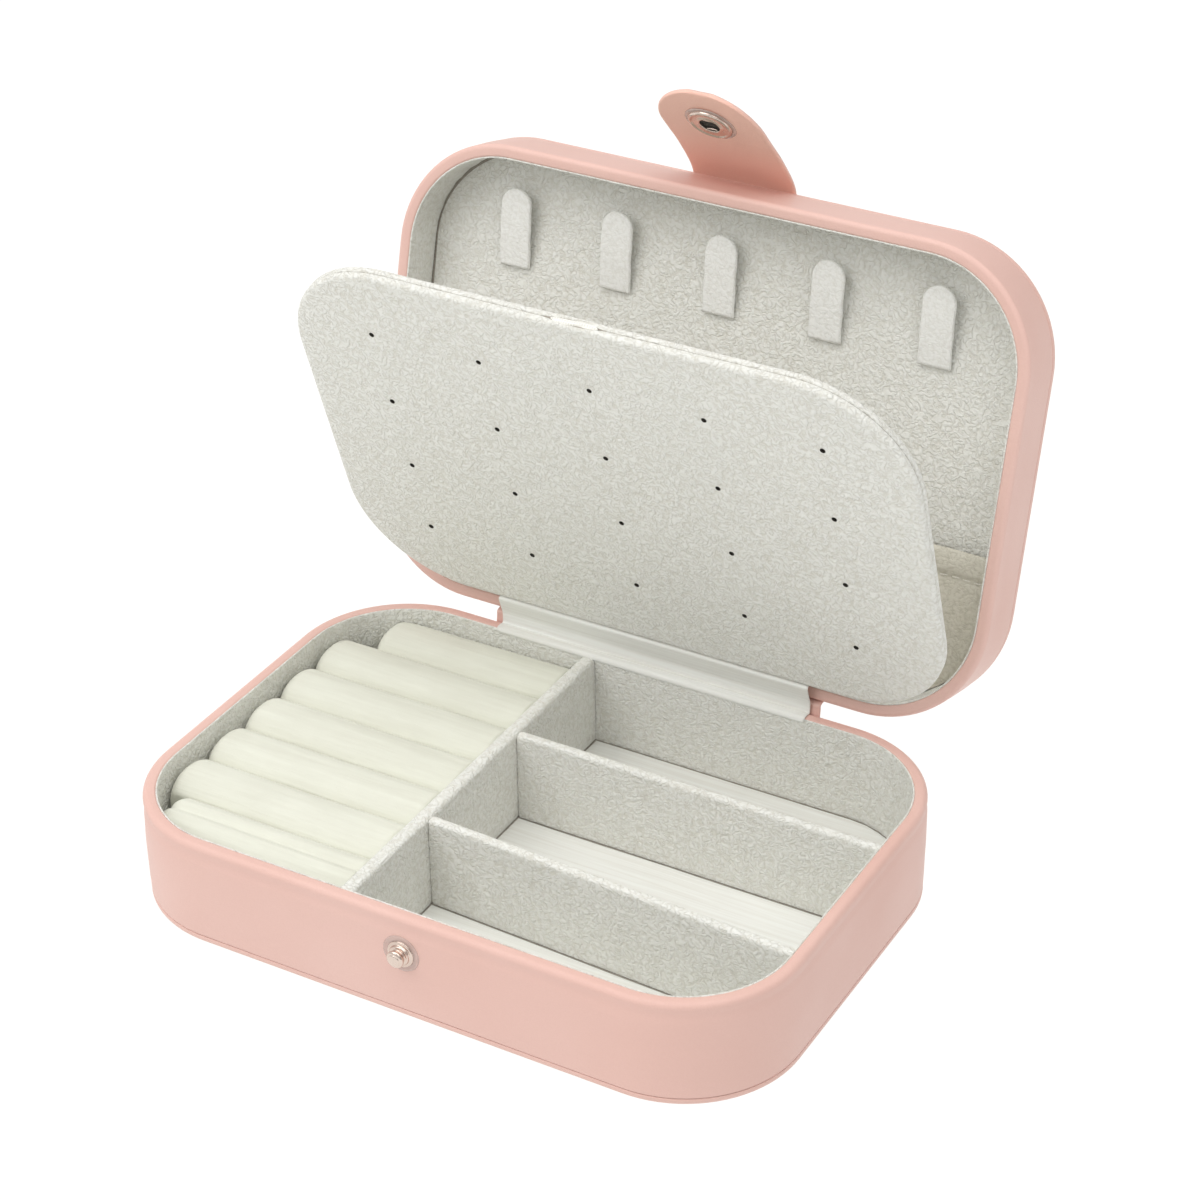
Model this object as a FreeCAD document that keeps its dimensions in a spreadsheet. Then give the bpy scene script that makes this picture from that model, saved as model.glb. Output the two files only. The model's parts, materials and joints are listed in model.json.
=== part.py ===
import FreeCAD, Part
import math
import os
import Sketcher

# Leather jewellery case: a base tray with ring rolls and dividers, a shallow lid with necklace
# hooks and a pocket, an earring flap that turns on the same spine as the lid, and a clasp tab
# with a press stud.  Millimetres.  The origin is the middle of the base's underside, +X runs
# along the long side, +Y to the back, +Z up.  The lid, flap and tab are drawn as they lie when
# the case is shut, and are then turned to the open pose.

SIZES = [
    ("case_width", 165.0, "long side, over the leather"),
    ("case_depth", 113.5, "front to back, over the leather"),
    ("corner_radius", 28.2, "upright corners of base and lid"),
    ("base_height", 27.2, "underside to rim"),
    ("lid_height", 17.0, "lid rim to lid top"),
    ("leather_gauge", 0.6, "outer leather"),
    ("board_gauge", 2.4, "grey board of walls, bottom and top"),
    ("lining_gauge", 0.4, "leatherette lining"),
    ("foam_gauge", 1.4, "foam under the lid's top leather"),
    ("card_gauge", 0.7, "card behind the necklace panel"),
    ("strip_gap", 0.05, "over and under the hinge strip when shut"),
    ("fit_gap", 0.15, "glued-in pieces to the pieces round them"),
    ("hinge_back", 1.17, "hinge line behind the rear wall"),
    ("hinge_rise", 1.9, "hinge line above the base rim"),
    ("lid_open_angle", 104.5, "lid opening as stored"),
    ("flap_share", 0.68, "flap turn for each degree of lid turn"),
    ("spine_width", 89.0, "leather spine along the hinge"),
    ("strip_width", 84.5, "cream hinge strip"),
    ("strip_gauge", 0.4, "cream hinge strip"),
    ("spine_reach", 10.0, "spine leather glued down each rear wall"),
    ("roll_bay_width", 61.0, "left lining to the long divider"),
    ("long_divider_gauge", 3.6, "front-to-back divider"),
    ("cross_divider_gauge", 2.6, "two cross dividers"),
    ("divider_cover_gauge", 0.5, "leatherette over each divider's card"),
    ("divider_drop", 0.6, "divider tops under the rim"),
    ("rear_bay_depth", 34.8, "rear lining to the rear cross divider"),
    ("front_bay_depth", 30.6, "front lining to the front cross divider, at its left end"),
    ("front_cross_skew", 2.4, "how far the front cross divider is turned, degrees"),
    ("roll_gap", 0.2, "ring roll to ring roll"),
    ("roll_spare", 3.15, "front lining to the nearest ring roll"),
    ("roll_drop", 3.0, "roll crests under the rim"),
    ("flap_side_gap", 0.4, "earring flap to the lid's lining, each side"),
    ("flap_front_gap", 0.75, "earring flap's free edge to the lid's front lining"),
    ("flap_corner_draw", 0.7, "earring flap's corner radius under the case's"),
    ("flap_board_gauge", 1.4, "each of the flap's two boards"),
    ("flap_cover_gauge", 0.5, "each of the flap's two covers"),
    ("flap_setback", 7.32, "flap's hinge edge ahead of the hinge line"),
    ("flap_rim_gap", 0.1, "flap face inside the lid rim when shut"),
    ("earring_hole_bore", 1.3, "pin hole through the flap"),
    ("earring_hole_pitch_x", 28.5, "pin holes along a row"),
    ("earring_hole_pitch_y", 21.6, "pin holes row to row"),
    ("earring_grid_rise", 0.5, "pin hole grid above the flap's middle"),
    ("ribbon_width", 11.5, "pull ribbon at the flap's free edge"),
    ("ribbon_reach", 1.6, "pull ribbon beyond the free edge"),
    ("ribbon_tail", 8.0, "pull ribbon between the boards"),
    ("ribbon_gauge", 0.4, "pull ribbon"),
    ("hook_width", 8.4, "necklace hook tongue"),
    ("hook_length", 19.8, "necklace hook tongue"),
    ("hook_gauge", 1.1, "necklace hook tongue"),
    ("hook_pitch", 27.8, "hook to hook"),
    ("hook_root_from_front", 31.15, "hook roots behind the lid's front face"),
    ("hook_lean", 8.0, "hook tongues off the panel, degrees"),
    ("hook_panel_gap", 0.2, "hook tongues off the panel at their roots"),
    ("pocket_mouth_from_front", 71.5, "pocket hem behind the lid's front face"),
    ("pocket_gap", 2.6, "pocket sheet off the panel"),
    ("pocket_sheet_gauge", 0.5, "gathered pocket sheet"),
    ("hem_height", 6.0, "pocket hem"),
    ("hem_gauge", 1.8, "pocket hem, over the elastic"),
    ("elastic_height", 4.6, "elastic band in the hem"),
    ("elastic_gauge", 0.7, "elastic band in the hem"),
    ("tab_width", 27.0, "clasp tab"),
    ("tab_tip_reach", 11.0, "clasp tab's tip beyond the socket"),
    ("tab_ply_gauge", 0.7, "each of the tab's two plies"),
    ("tab_bend_radius", 150.0, "curve of the tab along its length"),
    ("tab_standoff", 0.9, "tab's root line ahead of the lid's front face"),
    ("tab_rest_angle", 52.3, "tab under the horizontal of the shut lid, degrees"),
    ("tab_tail", 14.0, "tab glued in under the lid's top leather"),
    ("tab_root_drop", 0.7, "tab's root line under the lid's top"),
    ("stud_drop", 9.6, "stud under the base rim"),
    ("stud_flange_bore", 6.6, "stud flange diameter"),
    ("stud_head_bore", 4.2, "stud head diameter"),
    ("stud_height", 3.2, "stud, flange to crown"),
    ("stud_washer_bore", 9.2, "clear washer under the stud, diameter"),
    ("stud_washer_gauge", 0.35, "clear washer under the stud"),
    ("rivet_shank_bore", 2.0, "rivet shank diameter"),
    ("rivet_flange_bore", 6.0, "rivet flange diameter"),
    ("rivet_flange_gauge", 0.4, "rivet flange"),
    ("socket_flange_bore", 10.8, "socket flange diameter"),
    ("socket_flange_gauge", 0.8, "socket flange"),
    ("socket_mouth_bore", 4.9, "socket mouth diameter"),
    ("socket_barrel_bore", 6.4, "socket barrel through the tab, diameter"),
    ("socket_washer_bore", 12.6, "clear washer under the socket, diameter"),
    ("socket_washer_gauge", 0.3, "clear washer under the socket"),
    ("snap_cap_bore", 11.6, "cap on the tab's outer face, diameter"),
    ("snap_cap_gauge", 1.2, "cap on the tab's outer face"),
]

# How far the tab leans out of upright when it is snapped down, in degrees.
SNAPPED_LEAN = 3.0

ROLL_COUNT = 7
HOOK_COUNT = 5
HOLE_COLUMNS = 5
HOLE_ROWS = 4

doc = FreeCAD.newDocument("jewellery_case")
sheet = doc.addObject("Spreadsheet::Sheet", "Sizes")
for row, (alias, value, meaning) in enumerate(SIZES, start=1):
    sheet.set("A%d" % row, meaning)
    sheet.set("B%d" % row, str(value))
    sheet.setAlias("B%d" % row, alias)
doc.recompute()

# Sizes that follow from the driving ones, as expressions on the sheet.
WALL = "(Sizes.leather_gauge + Sizes.board_gauge)"
INSIDE = "(%s + Sizes.lining_gauge)" % WALL
FLOOR = "(%s + Sizes.lining_gauge)" % WALL
RIM = "Sizes.base_height"
LID_RIM = "(Sizes.base_height + 2 * Sizes.strip_gauge + 2 * Sizes.strip_gap)"
LID_TOP = "(%s + Sizes.lid_height)" % LID_RIM
TOP_LEATHER = "(%s - Sizes.leather_gauge)" % LID_TOP
TOP_FOAM = "(%s - Sizes.foam_gauge)" % TOP_LEATHER
TOP_BOARD = "(%s - Sizes.board_gauge)" % TOP_FOAM
PANEL_CARD = "(%s - Sizes.card_gauge)" % TOP_BOARD
PANEL_FACE = "(%s - Sizes.lining_gauge)" % PANEL_CARD
REAR_LINING = "(Sizes.case_depth / 2 - %s)" % INSIDE
LEFT_LINING = "(Sizes.case_width / 2 - %s)" % INSIDE
HINGE_Y = "(Sizes.case_depth / 2 + Sizes.hinge_back)"
HINGE_Z = "(Sizes.base_height + Sizes.hinge_rise)"
FLAP_FACE = "(%s + Sizes.flap_rim_gap)" % LID_RIM
FLAP_EDGE = "(%s - Sizes.flap_setback)" % HINGE_Y
FLAP_FREE_EDGE = "(Sizes.flap_front_gap - %s)" % REAR_LINING
FLAP_LENGTH = "(%s - %s)" % (FLAP_EDGE, FLAP_FREE_EDGE)
FLAP_MIDDLE = "((%s + %s) / 2)" % (FLAP_EDGE, FLAP_FREE_EDGE)
FLAP_WIDTH = "(2 * %s - 2 * Sizes.flap_side_gap)" % LEFT_LINING
FLAP_RADIUS = "(Sizes.corner_radius - Sizes.flap_corner_draw)"
DIVIDER_TOP = "(Sizes.base_height - Sizes.divider_drop)"
LONG_LEFT = "(Sizes.roll_bay_width - %s)" % LEFT_LINING
LONG_RIGHT = "(%s + Sizes.long_divider_gauge)" % LONG_LEFT
ROLL_BAY_DEPTH = "(2 * %s - 2 * Sizes.fit_gap)" % REAR_LINING
ROLL_PITCH = "((%s + Sizes.fit_gap + Sizes.roll_gap - Sizes.roll_spare) / %d)" % (
    ROLL_BAY_DEPTH, ROLL_COUNT)
ROLL_DIAMETER = "(%s - Sizes.roll_gap)" % ROLL_PITCH
HOOK_ROOT = "(%s - Sizes.hook_panel_gap - Sizes.hook_gauge / 2)" % PANEL_FACE
TAB_ROOT = "(%s - Sizes.tab_root_drop)" % LID_TOP
SNAP_REACH = "((%s - %s + Sizes.stud_drop) / cos(%s deg))" % (TAB_ROOT, RIM, SNAPPED_LEAN)
TAB_LENGTH = "(%s + Sizes.tab_tip_reach)" % SNAP_REACH

parts = []


def amount(expression):
    """Returns the value of an expression on the sheet, as a plain number."""
    return float(sheet.evalExpression(expression))


def new_body(label):
    """Makes an empty body and lists it as one of the case's pieces."""
    body = doc.addObject("PartDesign::Body", label)
    body.Label = label
    parts.append(body)
    return body


def new_sketch(body, role, offset="0"):
    """Attaches a sketch to one of the body's own origin planes, moved along its normal."""
    plane = [item for item in body.Origin.OriginFeatures if item.Role == role][0]
    sketch = body.newObject("Sketcher::SketchObject", "Sketch")
    sketch.AttachmentSupport = [(plane, "")]
    sketch.MapMode = "FlatFace"
    sketch.setExpression("AttachmentOffset.Base.z", offset)
    return sketch


def bind(sketch, name, expression, *constraint):
    """Adds a dimension and ties it to the sheet."""
    kind = constraint[0]
    places = constraint[1:]
    index = sketch.addConstraint(Sketcher.Constraint(kind, *places, amount(expression)))
    sketch.renameConstraint(index, name)
    sketch.setExpression("Constraints." + name, expression)


def pin_point(sketch, name, geometry, end, across, up):
    """Places one point of the sketch from its origin; a place of zero sits on the axis."""
    for axis, kind, expression in (("x", "DistanceX", across), ("y", "DistanceY", up)):
        bind(sketch, name + "_" + axis, expression, kind, -1, 1, geometry, end)


def draw_polygon(sketch, name, corners):
    """Draws straight edges through corners, each an (across, up) pair of expressions."""
    points = [FreeCAD.Vector(amount(across), amount(up), 0) for across, up in corners]
    first = sketch.GeometryCount
    count = len(points)
    for index in range(count):
        line = Part.LineSegment(points[index], points[(index + 1) % count])
        sketch.addGeometry(line, False)
    for index in range(count):
        following = first + (index + 1) % count
        sketch.addConstraint(Sketcher.Constraint("Coincident", first + index, 2, following, 1))
    for index, (across, up) in enumerate(corners):
        pin_point(sketch, "%s_%d" % (name, index), first + index, 1, across, up)


def draw_rectangle(sketch, name, left, right, low, high):
    """Draws an upright rectangle between four expressions."""
    draw_polygon(sketch, name, [(left, low), (right, low), (right, high), (left, high)])


def draw_rounded(sketch, name, width, depth, radius, middle="0"):
    """Draws a rectangle with round corners, centred across and at middle up."""
    half_w = amount(width) / 2
    half_d = amount(depth) / 2
    bend = amount(radius)
    centre = amount(middle)
    first = sketch.GeometryCount
    corner_signs = [(1, 1), (-1, 1), (-1, -1), (1, -1)]
    for quarter, (sign_x, sign_y) in enumerate(corner_signs):
        spot = FreeCAD.Vector(sign_x * (half_w - bend), centre + sign_y * (half_d - bend), 0)
        circle = Part.Circle(spot, FreeCAD.Vector(0, 0, 1), bend)
        start = quarter * math.pi / 2
        sketch.addGeometry(Part.ArcOfCircle(circle, start, start + math.pi / 2), False)
    for quarter in range(4):
        leaving = sketch.getPoint(first + quarter, 2)
        arriving = sketch.getPoint(first + (quarter + 1) % 4, 1)
        sketch.addGeometry(Part.LineSegment(leaving, arriving), False)
    for quarter in range(4):
        arc = first + quarter
        line = first + 4 + quarter
        following = first + (quarter + 1) % 4
        sketch.addConstraint(Sketcher.Constraint("Tangent", arc, 2, line, 1))
        sketch.addConstraint(Sketcher.Constraint("Tangent", line, 2, following, 1))
    for quarter in range(1, 4):
        sketch.addConstraint(Sketcher.Constraint("Equal", first, first + quarter))
    sketch.addConstraint(Sketcher.Constraint("Horizontal", first + 4))
    sketch.addConstraint(Sketcher.Constraint("Vertical", first + 5))
    bind(sketch, name + "_radius", radius, "Radius", first)
    across = "%s / 2 - %s" % (width, radius)
    up = "%s + %s / 2 - %s" % (middle, depth, radius)
    down = "%s - %s / 2 + %s" % (middle, depth, radius)
    pin_point(sketch, name + "_upper", first, 3, across, up)
    pin_point(sketch, name + "_lower", first + 2, 3, "-(%s)" % across, down)


def draw_case_outline(sketch, name, inset):
    """Draws the case's outline drawn in by an inset."""
    width = "(Sizes.case_width - 2 * %s)" % inset
    depth = "(Sizes.case_depth - 2 * %s)" % inset
    draw_rounded(sketch, name, width, depth, "(Sizes.corner_radius - %s)" % inset)


def pad(body, sketch, length, both_ways=False):
    """Pads a sketch; both_ways spreads the length to either side of it."""
    feature = body.newObject("PartDesign::Pad", "Pad")
    feature.Profile = sketch
    feature.setExpression("Length", length)
    feature.Midplane = both_ways
    doc.recompute()
    return feature


def pocket(body, sketch, length, both_ways=False, along_normal=False):
    """Pockets a sketch, and stops if nothing was cut."""
    before = body.Shape.Volume
    feature = body.newObject("PartDesign::Pocket", "Pocket")
    feature.Profile = sketch
    feature.setExpression("Length", length)
    feature.Midplane = both_ways
    feature.Reversed = along_normal
    doc.recompute()
    if body.Shape.Volume > before - 1e-6:
        raise RuntimeError("a pocket cut nothing in " + body.Label)
    return feature


def ring_layer(body, outer, inner, low, height):
    """Pads the band between two insets of the case's outline."""
    sketch = new_sketch(body, "XY_Plane", low)
    draw_case_outline(sketch, "outer", outer)
    draw_case_outline(sketch, "inner", inner)
    pad(body, sketch, height)


def plate(label, inset, low, height):
    """Makes a plate with the case's outline drawn in by an inset."""
    body = new_body(label)
    sketch = new_sketch(body, "XY_Plane", low)
    draw_case_outline(sketch, "outline", inset)
    pad(body, sketch, height)
    return body


def ring(label, outer, inner, low, height):
    """Makes an upright band between two insets of the case's outline."""
    body = new_body(label)
    ring_layer(body, outer, inner, low, height)
    return body


def block(label, left, right, front, back, low, height):
    """Makes an upright rectangular block."""
    body = new_body(label)
    sketch = new_sketch(body, "XY_Plane", low)
    draw_rectangle(sketch, "side", left, right, front, back)
    pad(body, sketch, height)
    return body


def turned(label, outline):
    """Turns an outline of (radius, height) expressions about the upright axis."""
    body = new_body(label)
    sketch = new_sketch(body, "XZ_Plane")
    draw_polygon(sketch, "profile", outline)
    feature = body.newObject("PartDesign::Revolution", "Revolution")
    feature.Profile = sketch
    feature.ReferenceAxis = (sketch, ["V_Axis"])
    feature.Angle = 360.0
    doc.recompute()
    return body


def bored(body, bore, length, placement):
    """Cuts a round hole through a piece and lists the cut piece in its place."""
    label = body.Label
    drill = doc.addObject("Part::Cylinder", "Drill")
    drill.setExpression("Radius", "%s / 2" % bore)
    drill.setExpression("Height", length)
    drill.Placement = placement
    cut = doc.addObject("Part::Cut", label + "_bored")
    cut.Base = body
    cut.Tool = drill
    doc.recompute()
    if cut.Shape.Volume > body.Shape.Volume - 1e-6:
        raise RuntimeError("a hole missed " + label)
    body.Label = label + "_blank"
    cut.Label = label
    parts[parts.index(body)] = cut
    return cut


def round_edges(body, radius, wanted):
    """Rounds the edges of a body that the wanted test picks."""
    tip = body.Tip
    names = []
    for index, edge in enumerate(tip.Shape.Edges, start=1):
        if wanted(edge):
            names.append("Edge%d" % index)
    fillet = body.newObject("PartDesign::Fillet", "Fillet")
    fillet.Base = (tip, names)
    fillet.setExpression("Radius", radius)
    doc.recompute()
    return fillet


def at_height(edge, height):
    """Tells whether every point of an edge lies at one height."""
    box = edge.BoundBox
    return abs(box.ZMin - height) < 1e-4 and abs(box.ZMax - height) < 1e-4


def about_x(degrees, centre):
    """A turn about a line along X through centre."""
    turn = FreeCAD.Rotation(FreeCAD.Vector(1, 0, 0), degrees)
    return FreeCAD.Placement(FreeCAD.Vector(0, 0, 0), turn, centre)


def placed(offset, degrees):
    """A turn about X and then a move to offset."""
    turn = FreeCAD.Rotation(FreeCAD.Vector(1, 0, 0), degrees)
    return FreeCAD.Placement(offset, turn)


HINGE_LINE = FreeCAD.Vector(0, amount(HINGE_Y), amount(HINGE_Z))
LID_TURN = about_x(-sheet.lid_open_angle, HINGE_LINE)
FLAP_TURN = about_x(-sheet.lid_open_angle * sheet.flap_share, HINGE_LINE)
FRONT_NORMAL = FreeCAD.Rotation(FreeCAD.Vector(1, 0, 0), 90)


def carry(first_new, turn):
    """Moves every piece listed since first_new with a turn, keeping its own place before it."""
    for piece in parts[first_new:]:
        piece.Placement = turn.multiply(piece.Placement)
    doc.recompute()


def build_base_shell():
    """Wall and bottom boards, their leather and lining."""
    rivet_line = FreeCAD.Vector(0, -sheet.case_depth / 2, amount(RIM) - sheet.stud_drop)
    outward = FreeCAD.Placement(rivet_line + FreeCAD.Vector(0, 10, 0), FRONT_NORMAL)

    ring("base_wall_board", "Sizes.leather_gauge", WALL, WALL,
         "(Sizes.base_height - Sizes.leather_gauge - %s)" % WALL)
    wall = parts[-1]
    seat_depth = "Sizes.rivet_flange_gauge"
    bored(wall, "(Sizes.rivet_shank_bore + 2 * Sizes.fit_gap)", "20", outward)
    seat = FreeCAD.Vector(0, -sheet.case_depth / 2 + amount(WALL), rivet_line.z)
    inward = FreeCAD.Placement(seat + FreeCAD.Vector(0, 5, 0), FRONT_NORMAL)
    bored(parts[-1], "(Sizes.rivet_flange_bore + 2 * Sizes.fit_gap)", "5 + " + seat_depth, inward)

    plate("base_bottom_board", "Sizes.leather_gauge", "Sizes.leather_gauge", "Sizes.board_gauge")

    leather = new_body("base_wall_leather")
    ring_layer(leather, "0", "Sizes.leather_gauge", "Sizes.leather_gauge",
               "(Sizes.base_height - 2 * Sizes.leather_gauge)")
    ring_layer(leather, "0", WALL, "(Sizes.base_height - Sizes.leather_gauge)",
               "Sizes.leather_gauge")
    round_edges(leather, "0.8 * Sizes.leather_gauge", lambda edge: at_height(edge, amount(RIM)))
    bored(leather, "(Sizes.rivet_shank_bore + 2 * Sizes.fit_gap)", "20", outward)

    plate("base_bottom_leather", "0", "0", "Sizes.leather_gauge")
    ring("base_wall_lining", WALL, INSIDE, WALL, "(Sizes.base_height - %s - 0.3)" % WALL)
    plate("base_floor_lining", "(%s + Sizes.fit_gap)" % INSIDE, WALL, "Sizes.lining_gauge")


def divider(name, corners, space):
    """A card core in a leatherette cover that is open underneath, from a plan of corners.

    corners gives (across, along) expressions of the outside and of the core, the same way round.
    Both are trimmed to the tray's space.
    """
    outside, inside = corners
    cover = new_body(name + "_cover")
    sketch = new_sketch(cover, "XY_Plane", FLOOR)
    draw_polygon(sketch, "outside", outside)
    pad(cover, sketch, "(%s - %s)" % (DIVIDER_TOP, FLOOR))
    hollow = new_sketch(cover, "XY_Plane", FLOOR)
    draw_polygon(hollow, "inside", inside)
    core_height = "(%s - %s - Sizes.divider_cover_gauge)" % (DIVIDER_TOP, FLOOR)
    pocket(cover, hollow, core_height, along_normal=True)
    round_edges(cover, "0.8 * Sizes.divider_cover_gauge",
                lambda edge: at_height(edge, amount(DIVIDER_TOP)) and edge.Length > 20)
    core = new_body(name + "_core")
    sketch = new_sketch(core, "XY_Plane", FLOOR)
    draw_polygon(sketch, "core", inside)
    pad(core, sketch, core_height)
    for piece in (cover, core):
        trim_piece(piece, space)


def build_dividers():
    """One front-to-back divider and two cross dividers to its right."""
    space = tray_space("tray_space")
    skin = "Sizes.divider_cover_gauge"
    end = "(%s - Sizes.fit_gap)" % REAR_LINING
    outside = [(LONG_LEFT, "-" + end), (LONG_RIGHT, "-" + end), (LONG_RIGHT, end), (LONG_LEFT, end)]
    left = "(%s + %s)" % (LONG_LEFT, skin)
    right = "(%s - %s)" % (LONG_RIGHT, skin)
    inner_end = "(%s - %s)" % (end, skin)
    inside = [(left, "-" + inner_end), (right, "-" + inner_end), (right, inner_end), (left, inner_end)]
    divider("divider_long", (outside, inside), space)

    start = "(%s + Sizes.fit_gap)" % LONG_RIGHT
    stop = "(%s - Sizes.fit_gap)" % LEFT_LINING
    back = "(%s - Sizes.rear_bay_depth)" % REAR_LINING
    front = "(%s - Sizes.cross_divider_gauge)" % back
    divider("divider_cross_rear", cross_plan(start, stop, front, back, "0"), space)

    front = "(Sizes.front_bay_depth - %s)" % REAR_LINING
    back = "(%s + Sizes.cross_divider_gauge)" % front
    plan = cross_plan(start, stop, front, back, "Sizes.front_cross_skew")
    divider("divider_cross_front", plan, space)


def cross_plan(start, stop, front, back, skew):
    """The plan of a cross divider: its outside and its core, both turned by the skew."""
    slope = "tan(%s * 1 deg)" % skew
    skin = "Sizes.divider_cover_gauge"

    def corners(low_x, high_x, low_y, high_y):
        fall = "(%s - %s) * %s" % (high_x, start, slope)
        rise = "(%s - %s) * %s" % (low_x, start, slope)
        return [
            (low_x, "(%s - %s)" % (low_y, rise)), (high_x, "(%s - %s)" % (low_y, fall)),
            (high_x, "(%s - %s)" % (high_y, fall)), (low_x, "(%s - %s)" % (high_y, rise)),
        ]

    outside = corners(start, stop, front, back)
    inside = corners("(%s + %s)" % (start, skin), "(%s - %s)" % (stop, skin),
                     "(%s + %s)" % (front, skin), "(%s - %s)" % (back, skin))
    return outside, inside


def lined_space(label, clearance, low, height):
    """The space inside the lining, less a clearance; it trims what stands or hangs there."""
    space = new_body(label)
    parts.remove(space)
    sketch = new_sketch(space, "XY_Plane", low)
    draw_case_outline(sketch, "space", "(%s + %s)" % (INSIDE, clearance))
    pad(space, sketch, height)
    return space


def tray_space(label):
    """The space in the tray that dividers and rolls are trimmed to."""
    return lined_space(label, "Sizes.fit_gap", FLOOR, "(%s - %s)" % (RIM, FLOOR))


def kept_in(label, blank, space):
    """Keeps the part of a blank that lies in a space, as a piece."""
    common = doc.addObject("Part::MultiCommon", label)
    common.Shapes = [blank, space]
    common.Label = label
    doc.recompute()
    parts.append(common)


def trim_piece(piece, space):
    """Puts the part of a piece that lies in a space in the piece's place."""
    parts.remove(piece)
    label = piece.Label
    piece.Label = label + "_blank"
    kept_in(label, piece, space)


def build_ring_rolls():
    """Seven velvet rolls on a riser, between the left lining and the long divider."""
    bay = tray_space("roll_bay")
    cut = new_sketch(bay, "XY_Plane", FLOOR)
    wide = "Sizes.case_width"
    left = "(%s - Sizes.fit_gap)" % LONG_LEFT
    draw_rectangle(cut, "beyond", left, wide, "-" + wide, wide)
    pocket(bay, cut, RIM, along_normal=True)

    crest = "(%s - Sizes.roll_drop)" % RIM
    riser = doc.addObject("Part::Box", "RiserBlank")
    riser.setExpression("Length", "Sizes.case_width")
    riser.setExpression("Width", "Sizes.case_depth")
    riser.setExpression("Height", "%s - %s - %s" % (crest, ROLL_DIAMETER, FLOOR))
    corner = FreeCAD.Vector(-sheet.case_width / 2, -sheet.case_depth / 2, amount(FLOOR))
    riser.Placement = FreeCAD.Placement(corner, FreeCAD.Rotation())
    kept_in("ring_roll_riser", riser, bay)

    radius = amount(ROLL_DIAMETER) / 2
    first_line = amount(REAR_LINING) - sheet.fit_gap - radius
    for index in range(ROLL_COUNT):
        roll = doc.addObject("Part::Cylinder", "RollBlank%d" % (index + 1))
        roll.setExpression("Radius", "%s / 2" % ROLL_DIAMETER)
        roll.setExpression("Height", "Sizes.case_width")
        line = first_line - index * amount(ROLL_PITCH)
        start = FreeCAD.Vector(-sheet.case_width / 2, line, amount(crest) - radius)
        roll.Placement = FreeCAD.Placement(start, FreeCAD.Rotation(FreeCAD.Vector(0, 1, 0), 90))
        kept_in("ring_roll_%d" % (index + 1), roll, bay)


def build_stud():
    """The press stud on the base's front wall, its clear washer and the rivet behind it."""
    face = FreeCAD.Vector(0, -sheet.case_depth / 2, amount(RIM) - sheet.stud_drop)
    seat = face - FreeCAD.Vector(0, sheet.stud_washer_gauge, 0)
    washer = turned("snap_stud_washer", [
        ("Sizes.rivet_shank_bore / 2 + Sizes.fit_gap", "0"), ("Sizes.stud_washer_bore / 2", "0"),
        ("Sizes.stud_washer_bore / 2", "Sizes.stud_washer_gauge"),
        ("Sizes.rivet_shank_bore / 2 + Sizes.fit_gap", "Sizes.stud_washer_gauge"),
    ])
    washer.Placement = FreeCAD.Placement(face, FRONT_NORMAL)

    head = "Sizes.stud_head_bore / 2"
    tall = "Sizes.stud_height"
    stud = turned("snap_stud", [
        ("0", "0"), ("Sizes.stud_flange_bore / 2", "0"), ("Sizes.stud_flange_bore / 2", "0.35"),
        ("0.72 * Sizes.stud_flange_bore / 2", "0.26 * %s" % tall),
        ("0.8 * %s" % head, "0.36 * %s" % tall), ("0.8 * %s" % head, "0.5 * %s" % tall),
        (head, "0.64 * %s" % tall), (head, "0.76 * %s" % tall),
        ("0.72 * %s" % head, "0.93 * %s" % tall), ("0.36 * %s" % head, tall), ("0", tall),
    ])
    stud.Placement = FreeCAD.Placement(seat, FRONT_NORMAL)

    flange = "Sizes.rivet_flange_bore / 2"
    shank = "Sizes.rivet_shank_bore / 2"
    thick = "Sizes.rivet_flange_gauge"
    reach = "(%s + Sizes.stud_washer_gauge)" % WALL
    rivet = turned("snap_stud_rivet", [
        ("0", "0"), (flange, "0"), (flange, thick), (shank, thick), (shank, reach), ("0", reach),
    ])
    root = face + FreeCAD.Vector(0, amount(WALL), 0)
    rivet.Placement = FreeCAD.Placement(root, FRONT_NORMAL)


def build_spine():
    """The leather spine's half on each rear wall, and the cream lining over the base rim."""
    rear = "Sizes.case_depth / 2"
    half = "Sizes.spine_width / 2"
    block("spine_leather_base", "-" + half, half, rear, "%s + Sizes.leather_gauge" % rear,
          "%s - Sizes.spine_reach" % RIM, "Sizes.spine_reach + Sizes.strip_gauge")
    half = "Sizes.strip_width / 2"
    block("spine_lining_base", "-" + half, half, REAR_LINING, rear, RIM, "Sizes.strip_gauge")
    first_new = len(parts)
    half = "Sizes.spine_width / 2"
    block("spine_leather_lid", "-" + half, half, rear, "%s + Sizes.leather_gauge" % rear,
          LID_RIM, "Sizes.spine_reach")
    carry(first_new, LID_TURN)


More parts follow.
